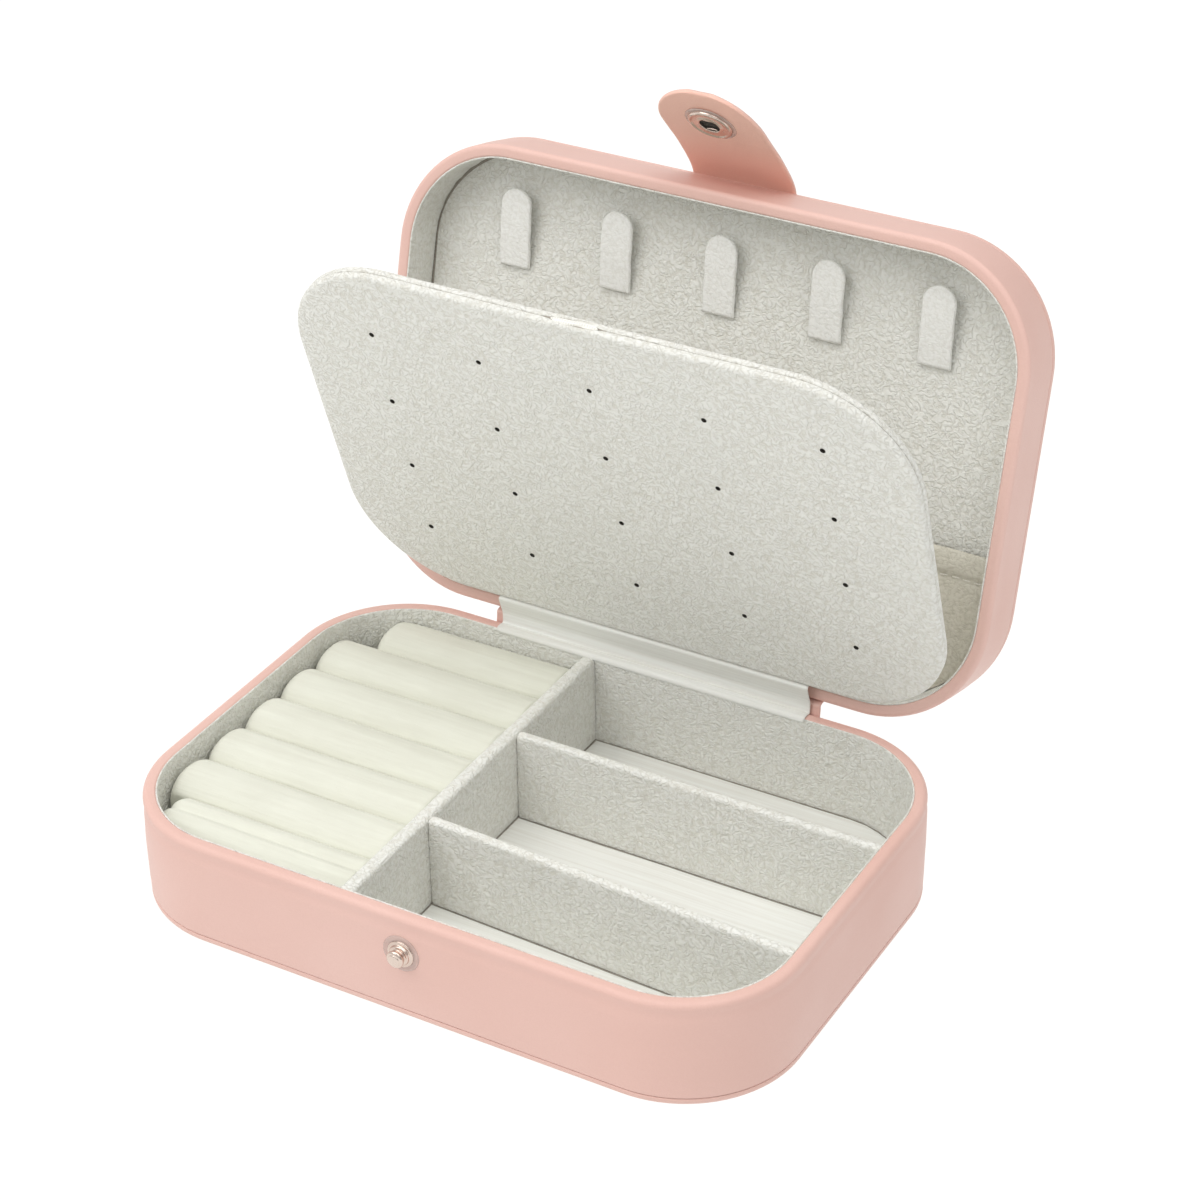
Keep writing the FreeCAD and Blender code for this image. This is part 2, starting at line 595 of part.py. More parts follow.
def build_lid_shell():
    """Wall and top boards, foam, leather and lining of the lid, with the panel inside it."""
    first_new = len(parts)
    thin = "Sizes.leather_gauge"
    ring("lid_wall_board", thin, WALL, "(%s + %s)" % (LID_RIM, thin),
         "(%s - %s - %s)" % (TOP_BOARD, LID_RIM, thin))
    plate("lid_top_board", thin, TOP_BOARD, "Sizes.board_gauge")

    foam = plate("lid_foam_pad", thin, TOP_FOAM, "Sizes.foam_gauge")
    cut_tail_seat(foam)

    leather = new_body("lid_wall_leather")
    ring_layer(leather, "0", thin, "(%s + %s)" % (LID_RIM, thin),
               "(%s - %s - %s)" % (TOP_LEATHER, LID_RIM, thin))
    ring_layer(leather, "0", WALL, LID_RIM, thin)
    round_edges(leather, "0.8 * " + thin, lambda edge: at_height(edge, amount(LID_RIM)))
    cut_tail_seat(leather)

    top = plate("lid_top_leather", "0", TOP_LEATHER, thin)
    round_edges(top, "0.8 * " + thin, lambda edge: at_height(edge, amount(LID_TOP)))

    ring("lid_wall_lining", WALL, INSIDE, "(%s + 0.3)" % LID_RIM,
         "(%s - %s - 0.3)" % (PANEL_FACE, LID_RIM))
    card = plate("lid_panel_card", "(%s + Sizes.fit_gap)" % WALL, PANEL_CARD, "Sizes.card_gauge")
    cut_hook_slits(card, PANEL_CARD)
    lining = plate("lid_panel_lining", "(%s + Sizes.fit_gap)" % WALL, PANEL_FACE,
                   "Sizes.lining_gauge")
    cut_hook_slits(lining, PANEL_FACE)
    carry(first_new, LID_TURN)


def cut_tail_seat(body):
    """Cuts the seat of the clasp tab's glued-in tail, from the lid's front face inwards."""
    half = "(Sizes.tab_width / 2 + Sizes.fit_gap)"
    sketch = new_sketch(body, "XY_Plane", TOP_FOAM)
    front = "-(Sizes.case_depth / 2 + 1)"
    back = "(Sizes.tab_tail + Sizes.fit_gap - Sizes.case_depth / 2)"
    draw_rectangle(sketch, "seat", "-" + half, half, front, back)
    pocket(body, sketch, "Sizes.foam_gauge", along_normal=True)


def cut_hook_slits(body, low):
    """Cuts the slit that each necklace hook comes out of."""
    half = "(Sizes.hook_width / 2 + Sizes.fit_gap)"
    sketch = new_sketch(body, "XY_Plane", low)
    for index in range(HOOK_COUNT):
        middle = "%d * Sizes.hook_pitch" % (index - HOOK_COUNT // 2)
        left = "(%s - %s)" % (middle, half)
        right = "(%s + %s)" % (middle, half)
        front = "(%s - Sizes.hook_gauge / 2)" % hook_line()
        back = "(%s + Sizes.hook_gauge / 2)" % hook_line()
        draw_rectangle(sketch, "slit_%d" % index, left, right, front, back)
    pocket(body, sketch, "Sizes.card_gauge + 1", along_normal=True)


def hook_line():
    """The line along which the hooks' roots stand."""
    return "(Sizes.hook_root_from_front - Sizes.case_depth / 2)"


def build_hooks():
    """Five tongues that lean off the panel; each turns about its own root line."""
    first_new = len(parts)
    for index in range(HOOK_COUNT):
        body = new_body("necklace_hook_%d" % (index + 1))
        sketch = new_sketch(body, "XY_Plane")
        half = "Sizes.hook_width / 2"
        draw_rectangle(sketch, "tongue", "-" + half, half, "-Sizes.hook_length", "0")
        pad(body, sketch, "Sizes.hook_gauge", both_ways=True)
        tip = -sheet.hook_length
        round_edges(body, "%s - 0.1" % half, lambda edge: upright_at(edge, tip))
        across = (index - HOOK_COUNT // 2) * sheet.hook_pitch
        root = FreeCAD.Vector(across, amount(hook_line()), amount(HOOK_ROOT))
        body.Placement = placed(root, sheet.hook_lean)
    carry(first_new, LID_TURN)


def upright_at(edge, along):
    """Tells whether an edge runs through the thickness at a place along Y."""
    box = edge.BoundBox
    return box.XLength < 1e-4 and abs(box.Center.y - along) < 0.5 and box.ZLength > 0.3


def build_pocket():
    """The gathered pocket sheet with its hem, and the elastic band inside the hem."""
    first_new = len(parts)
    gap = "Sizes.fit_gap"
    low = "(%s - Sizes.pocket_gap - Sizes.pocket_sheet_gauge)" % PANEL_FACE
    mouth = "(Sizes.pocket_mouth_from_front - Sizes.case_depth / 2)"
    hem_end = "(%s + Sizes.hem_height)" % mouth
    body = new_body("pocket_front")
    sketch = new_sketch(body, "XY_Plane", low)
    draw_case_outline(sketch, "sheet", "(%s + %s)" % (INSIDE, gap))
    pad(body, sketch, "Sizes.pocket_sheet_gauge")
    above = new_sketch(body, "XY_Plane", low)
    wide = "Sizes.case_width"
    draw_rectangle(above, "above", "-" + wide, wide, "-" + wide, "(%s - 0.5)" % hem_end)
    pocket(body, above, "Sizes.pocket_sheet_gauge", along_normal=True)
    middle = "(%s + Sizes.pocket_sheet_gauge / 2)" % low
    hem = new_sketch(body, "YZ_Plane")
    draw_rectangle(hem, "hem", mouth, hem_end,
                   "(%s - Sizes.hem_gauge / 2)" % middle, "(%s + Sizes.hem_gauge / 2)" % middle)
    tunnel_low = "(%s + (Sizes.hem_height - Sizes.elastic_height) / 2 - %s / 2)" % (mouth, gap)
    tunnel_high = "(%s - (Sizes.hem_height - Sizes.elastic_height) / 2 + %s / 2)" % (hem_end, gap)
    half = "(Sizes.elastic_gauge / 2 + %s / 2)" % gap
    draw_rectangle(hem, "tunnel", tunnel_low, tunnel_high,
                   "(%s - %s)" % (middle, half), "(%s + %s)" % (middle, half))
    pad(body, hem, "2 * (%s - %s)" % (LEFT_LINING, gap), both_ways=True)
    depth = "(%s - %s)" % (PANEL_FACE, LID_RIM)
    trim_piece(body, lined_space("pocket_space", gap, LID_RIM, depth))

    band = new_body("pocket_elastic")
    sketch = new_sketch(band, "YZ_Plane")
    half = "Sizes.elastic_gauge / 2"
    draw_rectangle(sketch, "band", "(%s + %s / 2)" % (tunnel_low, gap),
                   "(%s - %s / 2)" % (tunnel_high, gap),
                   "(%s - %s)" % (middle, half), "(%s + %s)" % (middle, half))
    pad(band, sketch, "2 * (%s - 2 * %s)" % (LEFT_LINING, gap), both_ways=True)
    trim_piece(band, lined_space("elastic_space", "2 * " + gap, LID_RIM, depth))
    carry(first_new, LID_TURN)


def flap_layer(label, low, gauge):
    """One layer of the flap, with its pin holes."""
    body = new_body(label)
    sketch = new_sketch(body, "XY_Plane", low)
    draw_rounded(sketch, "outline", FLAP_WIDTH, FLAP_LENGTH, FLAP_RADIUS, FLAP_MIDDLE)
    pad(body, sketch, gauge)
    holes = new_sketch(body, "XY_Plane", low)
    for row in range(HOLE_ROWS):
        for column in range(HOLE_COLUMNS):
            across = "%d * Sizes.earring_hole_pitch_x" % (column - HOLE_COLUMNS // 2)
            rows_up = row - (HOLE_ROWS - 1) / 2
            up = "(%s - Sizes.earring_grid_rise + %s * Sizes.earring_hole_pitch_y)" % (
                FLAP_MIDDLE, rows_up)
            spot = FreeCAD.Vector(amount(across), amount(up), 0)
            circle = Part.Circle(spot, FreeCAD.Vector(0, 0, 1), sheet.earring_hole_bore / 2)
            index = holes.addGeometry(circle, False)
            name = "hole_%d_%d" % (row, column)
            bind(holes, name, "Sizes.earring_hole_bore / 2", "Radius", index)
            pin_point(holes, name, index, 3, across, up)
    pocket(body, holes, gauge, along_normal=True)
    return body


def build_flap():
    """Two boards between two covers, the pull ribbon and the hinge strip."""
    first_new = len(parts)
    board = "Sizes.flap_board_gauge"
    cover = "Sizes.flap_cover_gauge"
    front_board = "(%s + %s)" % (FLAP_FACE, cover)
    rear_board = "(%s + %s)" % (front_board, board)
    rear_cover = "(%s + %s)" % (rear_board, board)
    flap_layer("flap_front_cover", FLAP_FACE, cover)

    body = flap_layer("flap_front_board", front_board, board)
    seat = new_sketch(body, "XY_Plane", "(%s - Sizes.ribbon_gauge)" % rear_board)
    half = "(Sizes.ribbon_width / 2 + Sizes.fit_gap)"
    draw_rectangle(seat, "seat", "-" + half, half, "(%s - 1)" % FLAP_FREE_EDGE,
                   "(%s + Sizes.ribbon_tail + Sizes.fit_gap)" % FLAP_FREE_EDGE)
    pocket(body, seat, "Sizes.ribbon_gauge", along_normal=True)

    flap_layer("flap_rear_board", rear_board, board)
    flap_layer("flap_rear_cover", rear_cover, cover)

    half = "Sizes.ribbon_width / 2"
    block("flap_pull_ribbon", "-" + half, half, "(%s - Sizes.ribbon_reach + 1)" % FLAP_FREE_EDGE,
          "(%s + Sizes.ribbon_tail)" % FLAP_FREE_EDGE,
          "(%s - Sizes.ribbon_gauge)" % rear_board, "Sizes.ribbon_gauge")

    strip = new_body("flap_hinge_strip")
    profile = new_sketch(strip, "YZ_Plane")
    low = "(%s + Sizes.strip_gauge + 0.05)" % RIM
    high = "(%s + Sizes.strip_gauge)" % low
    end = "(%s - 0.4)" % HINGE_Y
    turn_up = "(%s + Sizes.flap_cover_gauge + %s)" % (FLAP_FACE, board)
    draw_polygon(profile, "strip", [
        (FLAP_EDGE, low), (end, low), (end, high),
        ("(%s + Sizes.strip_gauge)" % FLAP_EDGE, high),
        ("(%s + Sizes.strip_gauge)" % FLAP_EDGE, turn_up), (FLAP_EDGE, turn_up),
    ])
    pad(strip, profile, "Sizes.strip_width", both_ways=True)
    carry(first_new, FLAP_TURN)


TAB_SAG = "(Sizes.tab_bend_radius - sqrt(Sizes.tab_bend_radius^2 - %s^2 / 4))" % TAB_LENGTH


def build_tab_ply(label, inner, outer):
    """One ply of the tab: a curved strap with a round tip and the socket's hole.

    inner and outer are its distances from the strap's middle surface.
    """
    body = new_body(label)
    sketch = new_sketch(body, "YZ_Plane")
    middle_x = "-%s / 2" % TAB_LENGTH
    middle_y = "(%s - Sizes.tab_bend_radius)" % TAB_SAG
    centre = FreeCAD.Vector(amount(middle_x), amount(middle_y), 0)
    spread = math.asin(amount(TAB_LENGTH) / 2 / sheet.tab_bend_radius)
    for index, offset in enumerate((inner, outer)):
        radius = "(Sizes.tab_bend_radius + %s)" % offset
        circle = Part.Circle(centre, FreeCAD.Vector(0, 0, 1), amount(radius))
        up = math.pi / 2
        sketch.addGeometry(Part.ArcOfCircle(circle, up - spread, up + spread), False)
        bind(sketch, "radius_%d" % index, radius, "Radius", index)
    pin_point(sketch, "centre", 0, 3, middle_x, middle_y)
    sketch.addConstraint(Sketcher.Constraint("Coincident", 0, 3, 1, 3))
    for end in (1, 2):
        line = Part.LineSegment(sketch.getPoint(0, end), sketch.getPoint(1, end))
        index = sketch.addGeometry(line, False)
        sketch.addConstraint(Sketcher.Constraint("Coincident", index, 1, 0, end))
        sketch.addConstraint(Sketcher.Constraint("Coincident", index, 2, 1, end))
        sketch.addConstraint(Sketcher.Constraint("Vertical", index))
    bind(sketch, "root", "0", "DistanceX", -1, 1, 0, 1)
    bind(sketch, "tip", "-" + TAB_LENGTH, "DistanceX", -1, 1, 0, 2)
    pad(body, sketch, "Sizes.tab_width", both_ways=True)

    cut_round_tip(body, "Sizes.tab_width / 2", TAB_LENGTH)

    hole = new_sketch(body, "XY_Plane", "-5")
    place = FreeCAD.Vector(0, -amount(SNAP_REACH), 0)
    circle = Part.Circle(place, FreeCAD.Vector(0, 0, 1), sheet.socket_barrel_bore / 2)
    index = hole.addGeometry(circle, False)
    bind(hole, "bore", "Sizes.socket_barrel_bore / 2 + Sizes.fit_gap", "Radius", index)
    pin_point(hole, "place", index, 3, "0", "-" + SNAP_REACH)
    pocket(body, hole, "10", along_normal=True)
    return body


def cut_round_tip(body, half_width, length):
    """Trims the -Y end of a strap that lies along Y to a half circle."""
    sketch = new_sketch(body, "XY_Plane", "-5")
    radius = amount(half_width)
    centre = FreeCAD.Vector(0, radius - amount(length), 0)
    circle = Part.Circle(centre, FreeCAD.Vector(0, 0, 1), radius)
    sketch.addGeometry(Part.ArcOfCircle(circle, math.pi, 2 * math.pi), False)
    bind(sketch, "radius", half_width, "Radius", 0)
    pin_point(sketch, "centre", 0, 3, "0", "(%s - %s)" % (half_width, length))
    left = sketch.getPoint(0, 1)
    right = sketch.getPoint(0, 2)
    low = centre.y - 2 * radius
    corners = [
        right, FreeCAD.Vector(2 * radius, centre.y, 0), FreeCAD.Vector(2 * radius, low, 0),
        FreeCAD.Vector(-2 * radius, low, 0), FreeCAD.Vector(-2 * radius, centre.y, 0), left,
    ]
    for start, end in zip(corners[:-1], corners[1:]):
        sketch.addGeometry(Part.LineSegment(start, end), False)
    for index in range(1, 5):
        sketch.addConstraint(Sketcher.Constraint("Coincident", index, 2, index + 1, 1))
    sketch.addConstraint(Sketcher.Constraint("Coincident", 0, 2, 1, 1))
    sketch.addConstraint(Sketcher.Constraint("Coincident", 0, 1, 5, 2))
    for index in (1, 3, 5):
        sketch.addConstraint(Sketcher.Constraint("Horizontal", index))
    for index in (2, 4):
        sketch.addConstraint(Sketcher.Constraint("Vertical", index))
    for end in (1, 2):
        sketch.addConstraint(Sketcher.Constraint("Horizontal", 0, end, 0, 3))
    bind(sketch, "depth", "2 * %s" % half_width, "DistanceY", 2, 2, 2, 1)
    bind(sketch, "right", "2 * %s" % half_width, "DistanceX", -1, 1, 1, 2)
    bind(sketch, "spread", "4 * %s" % half_width, "DistanceX", 3, 2, 3, 1)
    pocket(body, sketch, "10", along_normal=True)


def build_tab():
    """The clasp tab's two plies, the socket, its cap and its clear washer."""
    first_new = len(parts)
    ply = "Sizes.tab_ply_gauge"
    build_tab_ply("clasp_tab_inner_ply", "-" + ply, "0")
    build_tab_ply("clasp_tab_outer_ply", "0", ply)

    # The socket's own axis leaves the strap square to its curve.
    bend = sheet.tab_bend_radius
    along = amount(TAB_LENGTH) / 2 - amount(SNAP_REACH)
    lean = math.asin(along / bend)
    height = bend * math.cos(lean) - bend + amount(TAB_SAG)
    seat = FreeCAD.Vector(0, -amount(SNAP_REACH), height)
    square = placed(seat, -math.degrees(lean))

    # The strap is hollow on its inner side, so the flat washer stands off its middle a little.
    washer_top = "(-%s - Sizes.fit_gap)" % ply
    inner_face = "(%s - Sizes.socket_washer_gauge)" % washer_top
    mouth = "Sizes.socket_mouth_bore / 2"
    barrel = "Sizes.socket_barrel_bore / 2"
    turned("snap_socket_washer", [
        ("%s + Sizes.fit_gap" % barrel, inner_face), ("Sizes.socket_washer_bore / 2", inner_face),
        ("Sizes.socket_washer_bore / 2", washer_top),
        ("%s + Sizes.fit_gap" % barrel, washer_top),
    ])
    low = "(%s - Sizes.socket_flange_gauge)" % inner_face
    turned("snap_socket", [
        (mouth, "(%s + 0.25)" % low), ("(%s + 0.25)" % mouth, low),
        ("(Sizes.socket_flange_bore / 2 - 0.3)", low),
        ("Sizes.socket_flange_bore / 2", "(%s + 0.3)" % low),
        ("Sizes.socket_flange_bore / 2", inner_face), (barrel, inner_face),
        (barrel, ply), (mouth, ply),
    ])
    cap = "Sizes.snap_cap_bore / 2"
    base = "(%s + 0.05)" % ply
    turned("snap_cap", [
        ("0", base), (cap, base), ("0.97 * %s" % cap, "%s + 0.45 * Sizes.snap_cap_gauge" % base),
        ("0.8 * %s" % cap, "%s + 0.8 * Sizes.snap_cap_gauge" % base),
        ("0.45 * %s" % cap, "%s + 0.97 * Sizes.snap_cap_gauge" % base),
        ("0", "%s + Sizes.snap_cap_gauge" % base),
    ])
    for piece in parts[first_new + 2:]:
        piece.Placement = square
    root = FreeCAD.Vector(0, -sheet.case_depth / 2 - sheet.tab_standoff, amount(TAB_ROOT))
    carry(first_new, placed(root, sheet.tab_rest_angle))
    carry(first_new, LID_TURN)

    first_new = len(parts)
    half = "Sizes.tab_width / 2"
    block("clasp_tab_tail", "-" + half, half, "(0.1 - Sizes.case_depth / 2)",
          "(Sizes.tab_tail - Sizes.case_depth / 2)", TOP_FOAM, "Sizes.foam_gauge")
    carry(first_new, LID_TURN)


def write_parts():
    """Checks every object and writes each piece to its own file."""
    doc.recompute()
    for item in doc.Objects:
        if "Invalid" in item.State or "Error" in item.State:
            raise RuntimeError("%s failed: %s" % (item.Label, item.State))
    labels = set()
    for piece in parts:
        shape = piece.Shape
        if shape.isNull() or not shape.isValid() or shape.Volume <= 0:
            raise RuntimeError("bad shape: " + piece.Label)
        if piece.Label in labels:
            raise RuntimeError("two pieces are called " + piece.Label)
        labels.add(piece.Label)
    os.makedirs("parts", exist_ok=True)
    for piece in parts:
        piece.Shape.exportStep("parts/%s.step" % piece.Label)
    print("pieces:", len(parts))


build_base_shell()
build_dividers()
build_ring_rolls()
build_stud()
build_spine()
build_lid_shell()
build_hooks()
build_pocket()
build_flap()
build_tab()
write_parts()
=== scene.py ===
"""Looks of a small leather jewellery case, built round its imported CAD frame.

The case lies open: a tray with velvet ring rolls and leatherette dividers, a lid with necklace
hooks and a gathered pocket, an earring flap that shares the lid's spine, and a clasp tab with a
press stud.  Every class below is one sub-assembly.  It holds its sizes in millimetres, works its
surfaces out as numpy grids and hands them to the bodies of the frame.
"""

import json
import logging
import math
from dataclasses import dataclass, field
from enum import Enum
from typing import Optional, Sequence

import bpy
import numpy as np
from mathutils import Matrix, Vector
from mathutils.geometry import delaunay_2d_cdt

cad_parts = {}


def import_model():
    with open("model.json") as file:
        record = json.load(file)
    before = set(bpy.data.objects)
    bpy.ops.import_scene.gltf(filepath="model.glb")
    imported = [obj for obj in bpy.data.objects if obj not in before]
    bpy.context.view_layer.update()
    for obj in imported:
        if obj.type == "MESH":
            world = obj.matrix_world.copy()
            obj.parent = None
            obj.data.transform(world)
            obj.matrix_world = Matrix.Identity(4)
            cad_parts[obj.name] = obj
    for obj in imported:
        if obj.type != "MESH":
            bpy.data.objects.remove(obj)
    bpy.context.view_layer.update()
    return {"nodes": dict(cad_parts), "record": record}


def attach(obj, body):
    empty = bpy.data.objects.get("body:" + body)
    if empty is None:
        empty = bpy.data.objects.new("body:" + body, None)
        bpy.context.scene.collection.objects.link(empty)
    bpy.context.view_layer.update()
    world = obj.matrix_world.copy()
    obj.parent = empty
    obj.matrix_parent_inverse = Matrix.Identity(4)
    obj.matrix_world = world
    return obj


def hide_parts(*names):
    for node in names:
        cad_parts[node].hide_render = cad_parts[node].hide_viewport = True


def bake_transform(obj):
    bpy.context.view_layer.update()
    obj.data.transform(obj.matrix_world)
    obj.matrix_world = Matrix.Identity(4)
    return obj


log = logging.getLogger("jewellery_case")
MM = 0.001
Array = np.ndarray
Colour = tuple[float, float, float]


class Body(Enum):
    """The frame's bodies that pieces ride on."""

    BASE = "base"
    LID = "lid"
    FLAP = "flap"
    TAB = "clasp_tab"


class Slot(Enum):
    """The record's finishes."""

    LEATHER = "pink_leather"
    BOARD = "grey_board"
    LINING = "cream_lining"
    VELVET = "cream_velvet"
    FOAM = "foam"
    ELASTIC = "elastic"
    RIBBON = "ribbon"
    METAL = "snap_metal"
    CLEAR = "clear_washer"


# ---------------------------------------------------------------------------------------------
# Finishes
# ---------------------------------------------------------------------------------------------


class Graph:
    """A small writer for one material's nodes."""

    def __init__(self, name: str) -> None:
        """Starts an empty material.

        Args:
            name: the material's name.
        """
        self.material = bpy.data.materials.new(name)
        self.material.use_nodes = True
        self.tree = self.material.node_tree
        self.tree.nodes.clear()
        self.place = self.node("ShaderNodeTexCoord").outputs["Object"]

    def node(self, kind: str, **inputs: object) -> bpy.types.Node:
        """Adds a node and sets its properties and sockets.

        Args:
            kind: the node's type.
            inputs: property names, or socket names with _ for a space, with a value or a socket.

        Returns:
            The new node.
        """
        made = self.tree.nodes.new(kind)
        for name, value in inputs.items():
            if hasattr(made, name) and not isinstance(value, bpy.types.NodeSocket):
                setattr(made, name, value)
                continue
            socket = made.inputs[name.replace("_", " ")]
            if isinstance(value, bpy.types.NodeSocket):
                self.tree.links.new(value, socket)
            else:
                socket.default_value = value
        return made

    def stretched(self, scale: Sequence[float]) -> bpy.types.NodeSocket:
        """Object coordinates times a scale for each axis.

        Args:
            scale: three factors.

        Returns:
            The scaled coordinates.
        """
        return self.node("ShaderNodeMapping", Vector=self.place, Scale=tuple(scale)).outputs[0]

    def noise(self, scale: float, detail: float = 3.0, rough: float = 0.5,
              vector: Optional[bpy.types.NodeSocket] = None) -> bpy.types.NodeSocket:
        """Fractal noise.

        Args:
            scale: cells a metre.
            detail: octaves.
            rough: weight of the finer octaves.
            vector: coordinates, the object's own if left out.

        Returns:
            The noise, about 0 to 1.
        """
        return self.node("ShaderNodeTexNoise", Vector=vector or self.place, Scale=scale,
                         Detail=detail, Roughness=rough).outputs["Fac"]

    def cells(self, scale: float, feature: str = "DISTANCE_TO_EDGE",
              vector: Optional[bpy.types.NodeSocket] = None) -> bpy.types.NodeSocket:
        """Voronoi cells, as the distance to an edge or to a point.

        Args:
            scale: cells a metre.
            feature: the Voronoi feature.
            vector: coordinates, the object's own if left out.

        Returns:
            The distance.
        """
        return self.node("ShaderNodeTexVoronoi", feature=feature, Vector=vector or self.place,
                         Scale=scale).outputs["Distance"]

    def remap(self, value: bpy.types.NodeSocket, low: float, high: float, to_low: float = 0.0,
              to_high: float = 1.0) -> bpy.types.NodeSocket:
        """Carries one range to another, held at its ends.

        Args:
            value: the socket to carry.
            low: start of the range.
            high: end of the range.
            to_low: what low becomes.
            to_high: what high becomes.

        Returns:
            The carried value.
        """
        made = self.node("ShaderNodeMapRange", Value=value)
        for name, number in (("From Min", low), ("From Max", high), ("To Min", to_low),
                             ("To Max", to_high)):
            made.inputs[name].default_value = number
        return made.outputs[0]

    def math(self, operation: str, first: object, second: object = 0.0) -> bpy.types.NodeSocket:
        """One arithmetic step on two sockets or numbers.

        Args:
            operation: the Math node's operation.
            first: socket or number.
            second: socket or number.

        Returns:
            The result.
        """
        made = self.node("ShaderNodeMath", operation=operation)
        for index, value in enumerate((first, second)):
            if isinstance(value, bpy.types.NodeSocket):
                self.tree.links.new(value, made.inputs[index])
            else:
                made.inputs[index].default_value = value
        return made.outputs[0]

    def mix(self, factor: bpy.types.NodeSocket, low: object, high: object) -> bpy.types.NodeSocket:
        """Mixes two colours, each a socket or three numbers.

        Args:
            factor: 0 gives low, 1 gives high.
            low: colour.
            high: colour.

        Returns:
            The mixed colour.
        """
        made = self.node("ShaderNodeMix", data_type="RGBA")
        self.tree.links.new(factor, made.inputs["Factor"])
        for socket, value in ((made.inputs[6], low), (made.inputs[7], high)):
            if isinstance(value, bpy.types.NodeSocket):
                self.tree.links.new(value, socket)
            else:
                socket.default_value = (*value, 1.0)
        return made.outputs[2]

    def bump(self, height: bpy.types.NodeSocket, reach: float, strength: float = 1.0,
             under: Optional[bpy.types.NodeSocket] = None) -> bpy.types.NodeSocket:
        """Turns a height into a normal.

        Args:
            height: 0 to 1.
            reach: how many metres a height of 1 stands for.
            strength: share of the effect.
            under: a normal to build on.

        Returns:
            The normal.
        """
        made = self.node("ShaderNodeBump", Height=height, Distance=reach, Strength=strength)
        if under is not None:
            self.tree.links.new(under, made.inputs["Normal"])
        return made.outputs[0]

    def finish(self, colour: object, rough: object, normal: Optional[bpy.types.NodeSocket] = None,
               **extra: object) -> bpy.types.Material:
        """Ends the graph in one Principled shader.

        Args:
            colour: socket or three numbers.
            rough: socket or number.
            normal: the surface's normal.
            extra: more sockets of the shader, with _ for a space.

        Returns:
            The finished material.
        """
        shader = self.node("ShaderNodeBsdfPrincipled", **extra)
        for name, value in (("Base Color", colour), ("Roughness", rough), ("Normal", normal)):
            if isinstance(value, bpy.types.NodeSocket):
                self.tree.links.new(value, shader.inputs[name])
            elif value is not None:
                plain = (*value, 1.0) if isinstance(value, tuple) else value
                shader.inputs[name].default_value = plain
        self.node("ShaderNodeOutputMaterial", Surface=shader.outputs[0])
        return self.material


def linear(red: int, green: int, blue: int) -> Colour:
    """A screen colour of 0 to 255 as the linear colour that shaders take.

    Args:
        red: red.
        green: green.
        blue: blue.

    Returns:
        The linear colour.
    """
    share = np.array([red, green, blue]) / 255.0
    lit = np.where(share <= 0.04045, share / 12.92, ((share + 0.055) / 1.055) ** 2.4)
    return (float(lit[0]), float(lit[1]), float(lit[2]))


@dataclass(frozen=True)
class SoftLeather:
    """Smooth pink leather: fine pores, faint long wrinkles and a slow drift of colour."""

    name: str = "smooth_pink_leather"
    base: Colour = linear(231, 194, 184)
    deep: Colour = linear(226, 186, 175)
    mark: Colour = linear(218, 174, 162)
    pore_scale: float = 1500.0
    rough: float = 0.5

    def material(self) -> bpy.types.Material:
        """Builds the finish.

        Returns:
            The material.
        """
        g = Graph(self.name)
        drift = g.remap(g.noise(22.0, 2.0), 0.3, 0.7)
        fine = g.noise(2600.0, 2.0)
        colour = g.mix(drift, self.base, self.deep)
        colour = g.mix(g.remap(fine, 0.35, 0.7, 0.0, 0.18), colour, self.mark)
        pores = g.remap(g.cells(self.pore_scale), 0.0, 0.28)
        creases = g.noise(1.0, 3.0, 0.6, g.stretched((28.0, 28.0, 260.0)))
        normal = g.bump(creases, 0.00022, 0.5)
        normal = g.bump(pores, 0.00004, 0.45, normal)
        rough = g.remap(g.noise(60.0, 3.0), 0.3, 0.7, self.rough - 0.05, self.rough + 0.06)
        return g.finish(colour, rough, normal, Specular_IOR_Level=0.42, Coat_Weight=0.08,
                        Coat_Roughness=0.4)


@dataclass(frozen=True)
class PebbledLining:
    """Cream leatherette with a pressed grain of small, crooked pebbles."""

    name: str = "pebbled_cream_lining"
    base: Colour = linear(236, 236, 231)
    deep: Colour = linear(220, 218, 209)
    grain_scale: float = 900.0
    grain_reach: float = 0.00034
    rough: float = 0.6

    def material(self) -> bpy.types.Material:
        """Builds the finish: soft cells give the pebbles, folded noise the crooked valleys.

        Returns:
            The material.
        """
        g = Graph(self.name)
        warp = g.node("ShaderNodeTexNoise", Vector=g.place, Scale=600.0, Detail=2.0).outputs["Color"]
        pull = g.node("ShaderNodeVectorMath", operation="SCALE")
        g.tree.links.new(warp, pull.inputs[0])
        pull.inputs["Scale"].default_value = 0.0013
        bent = g.node("ShaderNodeVectorMath", operation="ADD")
        g.tree.links.new(g.place, bent.inputs[0])
        g.tree.links.new(pull.outputs[0], bent.inputs[1])
        cells = g.remap(g.cells(self.grain_scale, "SMOOTH_F1", bent.outputs[0]), 0.15, 0.75,
                        1.0, 0.0)
        folded = g.math("ABSOLUTE", g.math("SUBTRACT", g.noise(880.0, 1.5, 0.45), 0.5))
        valleys = g.remap(folded, 0.0, 0.1)
        pebbles = g.math("ADD", g.math("MULTIPLY", cells, 0.55), g.math("MULTIPLY", valleys, 0.45))
        colour = g.mix(g.remap(pebbles, 0.15, 0.8), self.deep, self.base)
        drift = g.remap(g.noise(30.0, 2.0), 0.3, 0.7, 0.0, 0.2)
        colour = g.mix(drift, colour, linear(227, 228, 223))
        normal = g.bump(g.noise(90.0, 2.0), 0.0006, 0.3)
        normal = g.bump(pebbles, self.grain_reach, 0.9, normal)
        rough = g.remap(pebbles, 0.0, 1.0, self.rough + 0.12, self.rough - 0.05)
        return g.finish(colour, rough, normal, Specular_IOR_Level=0.38)


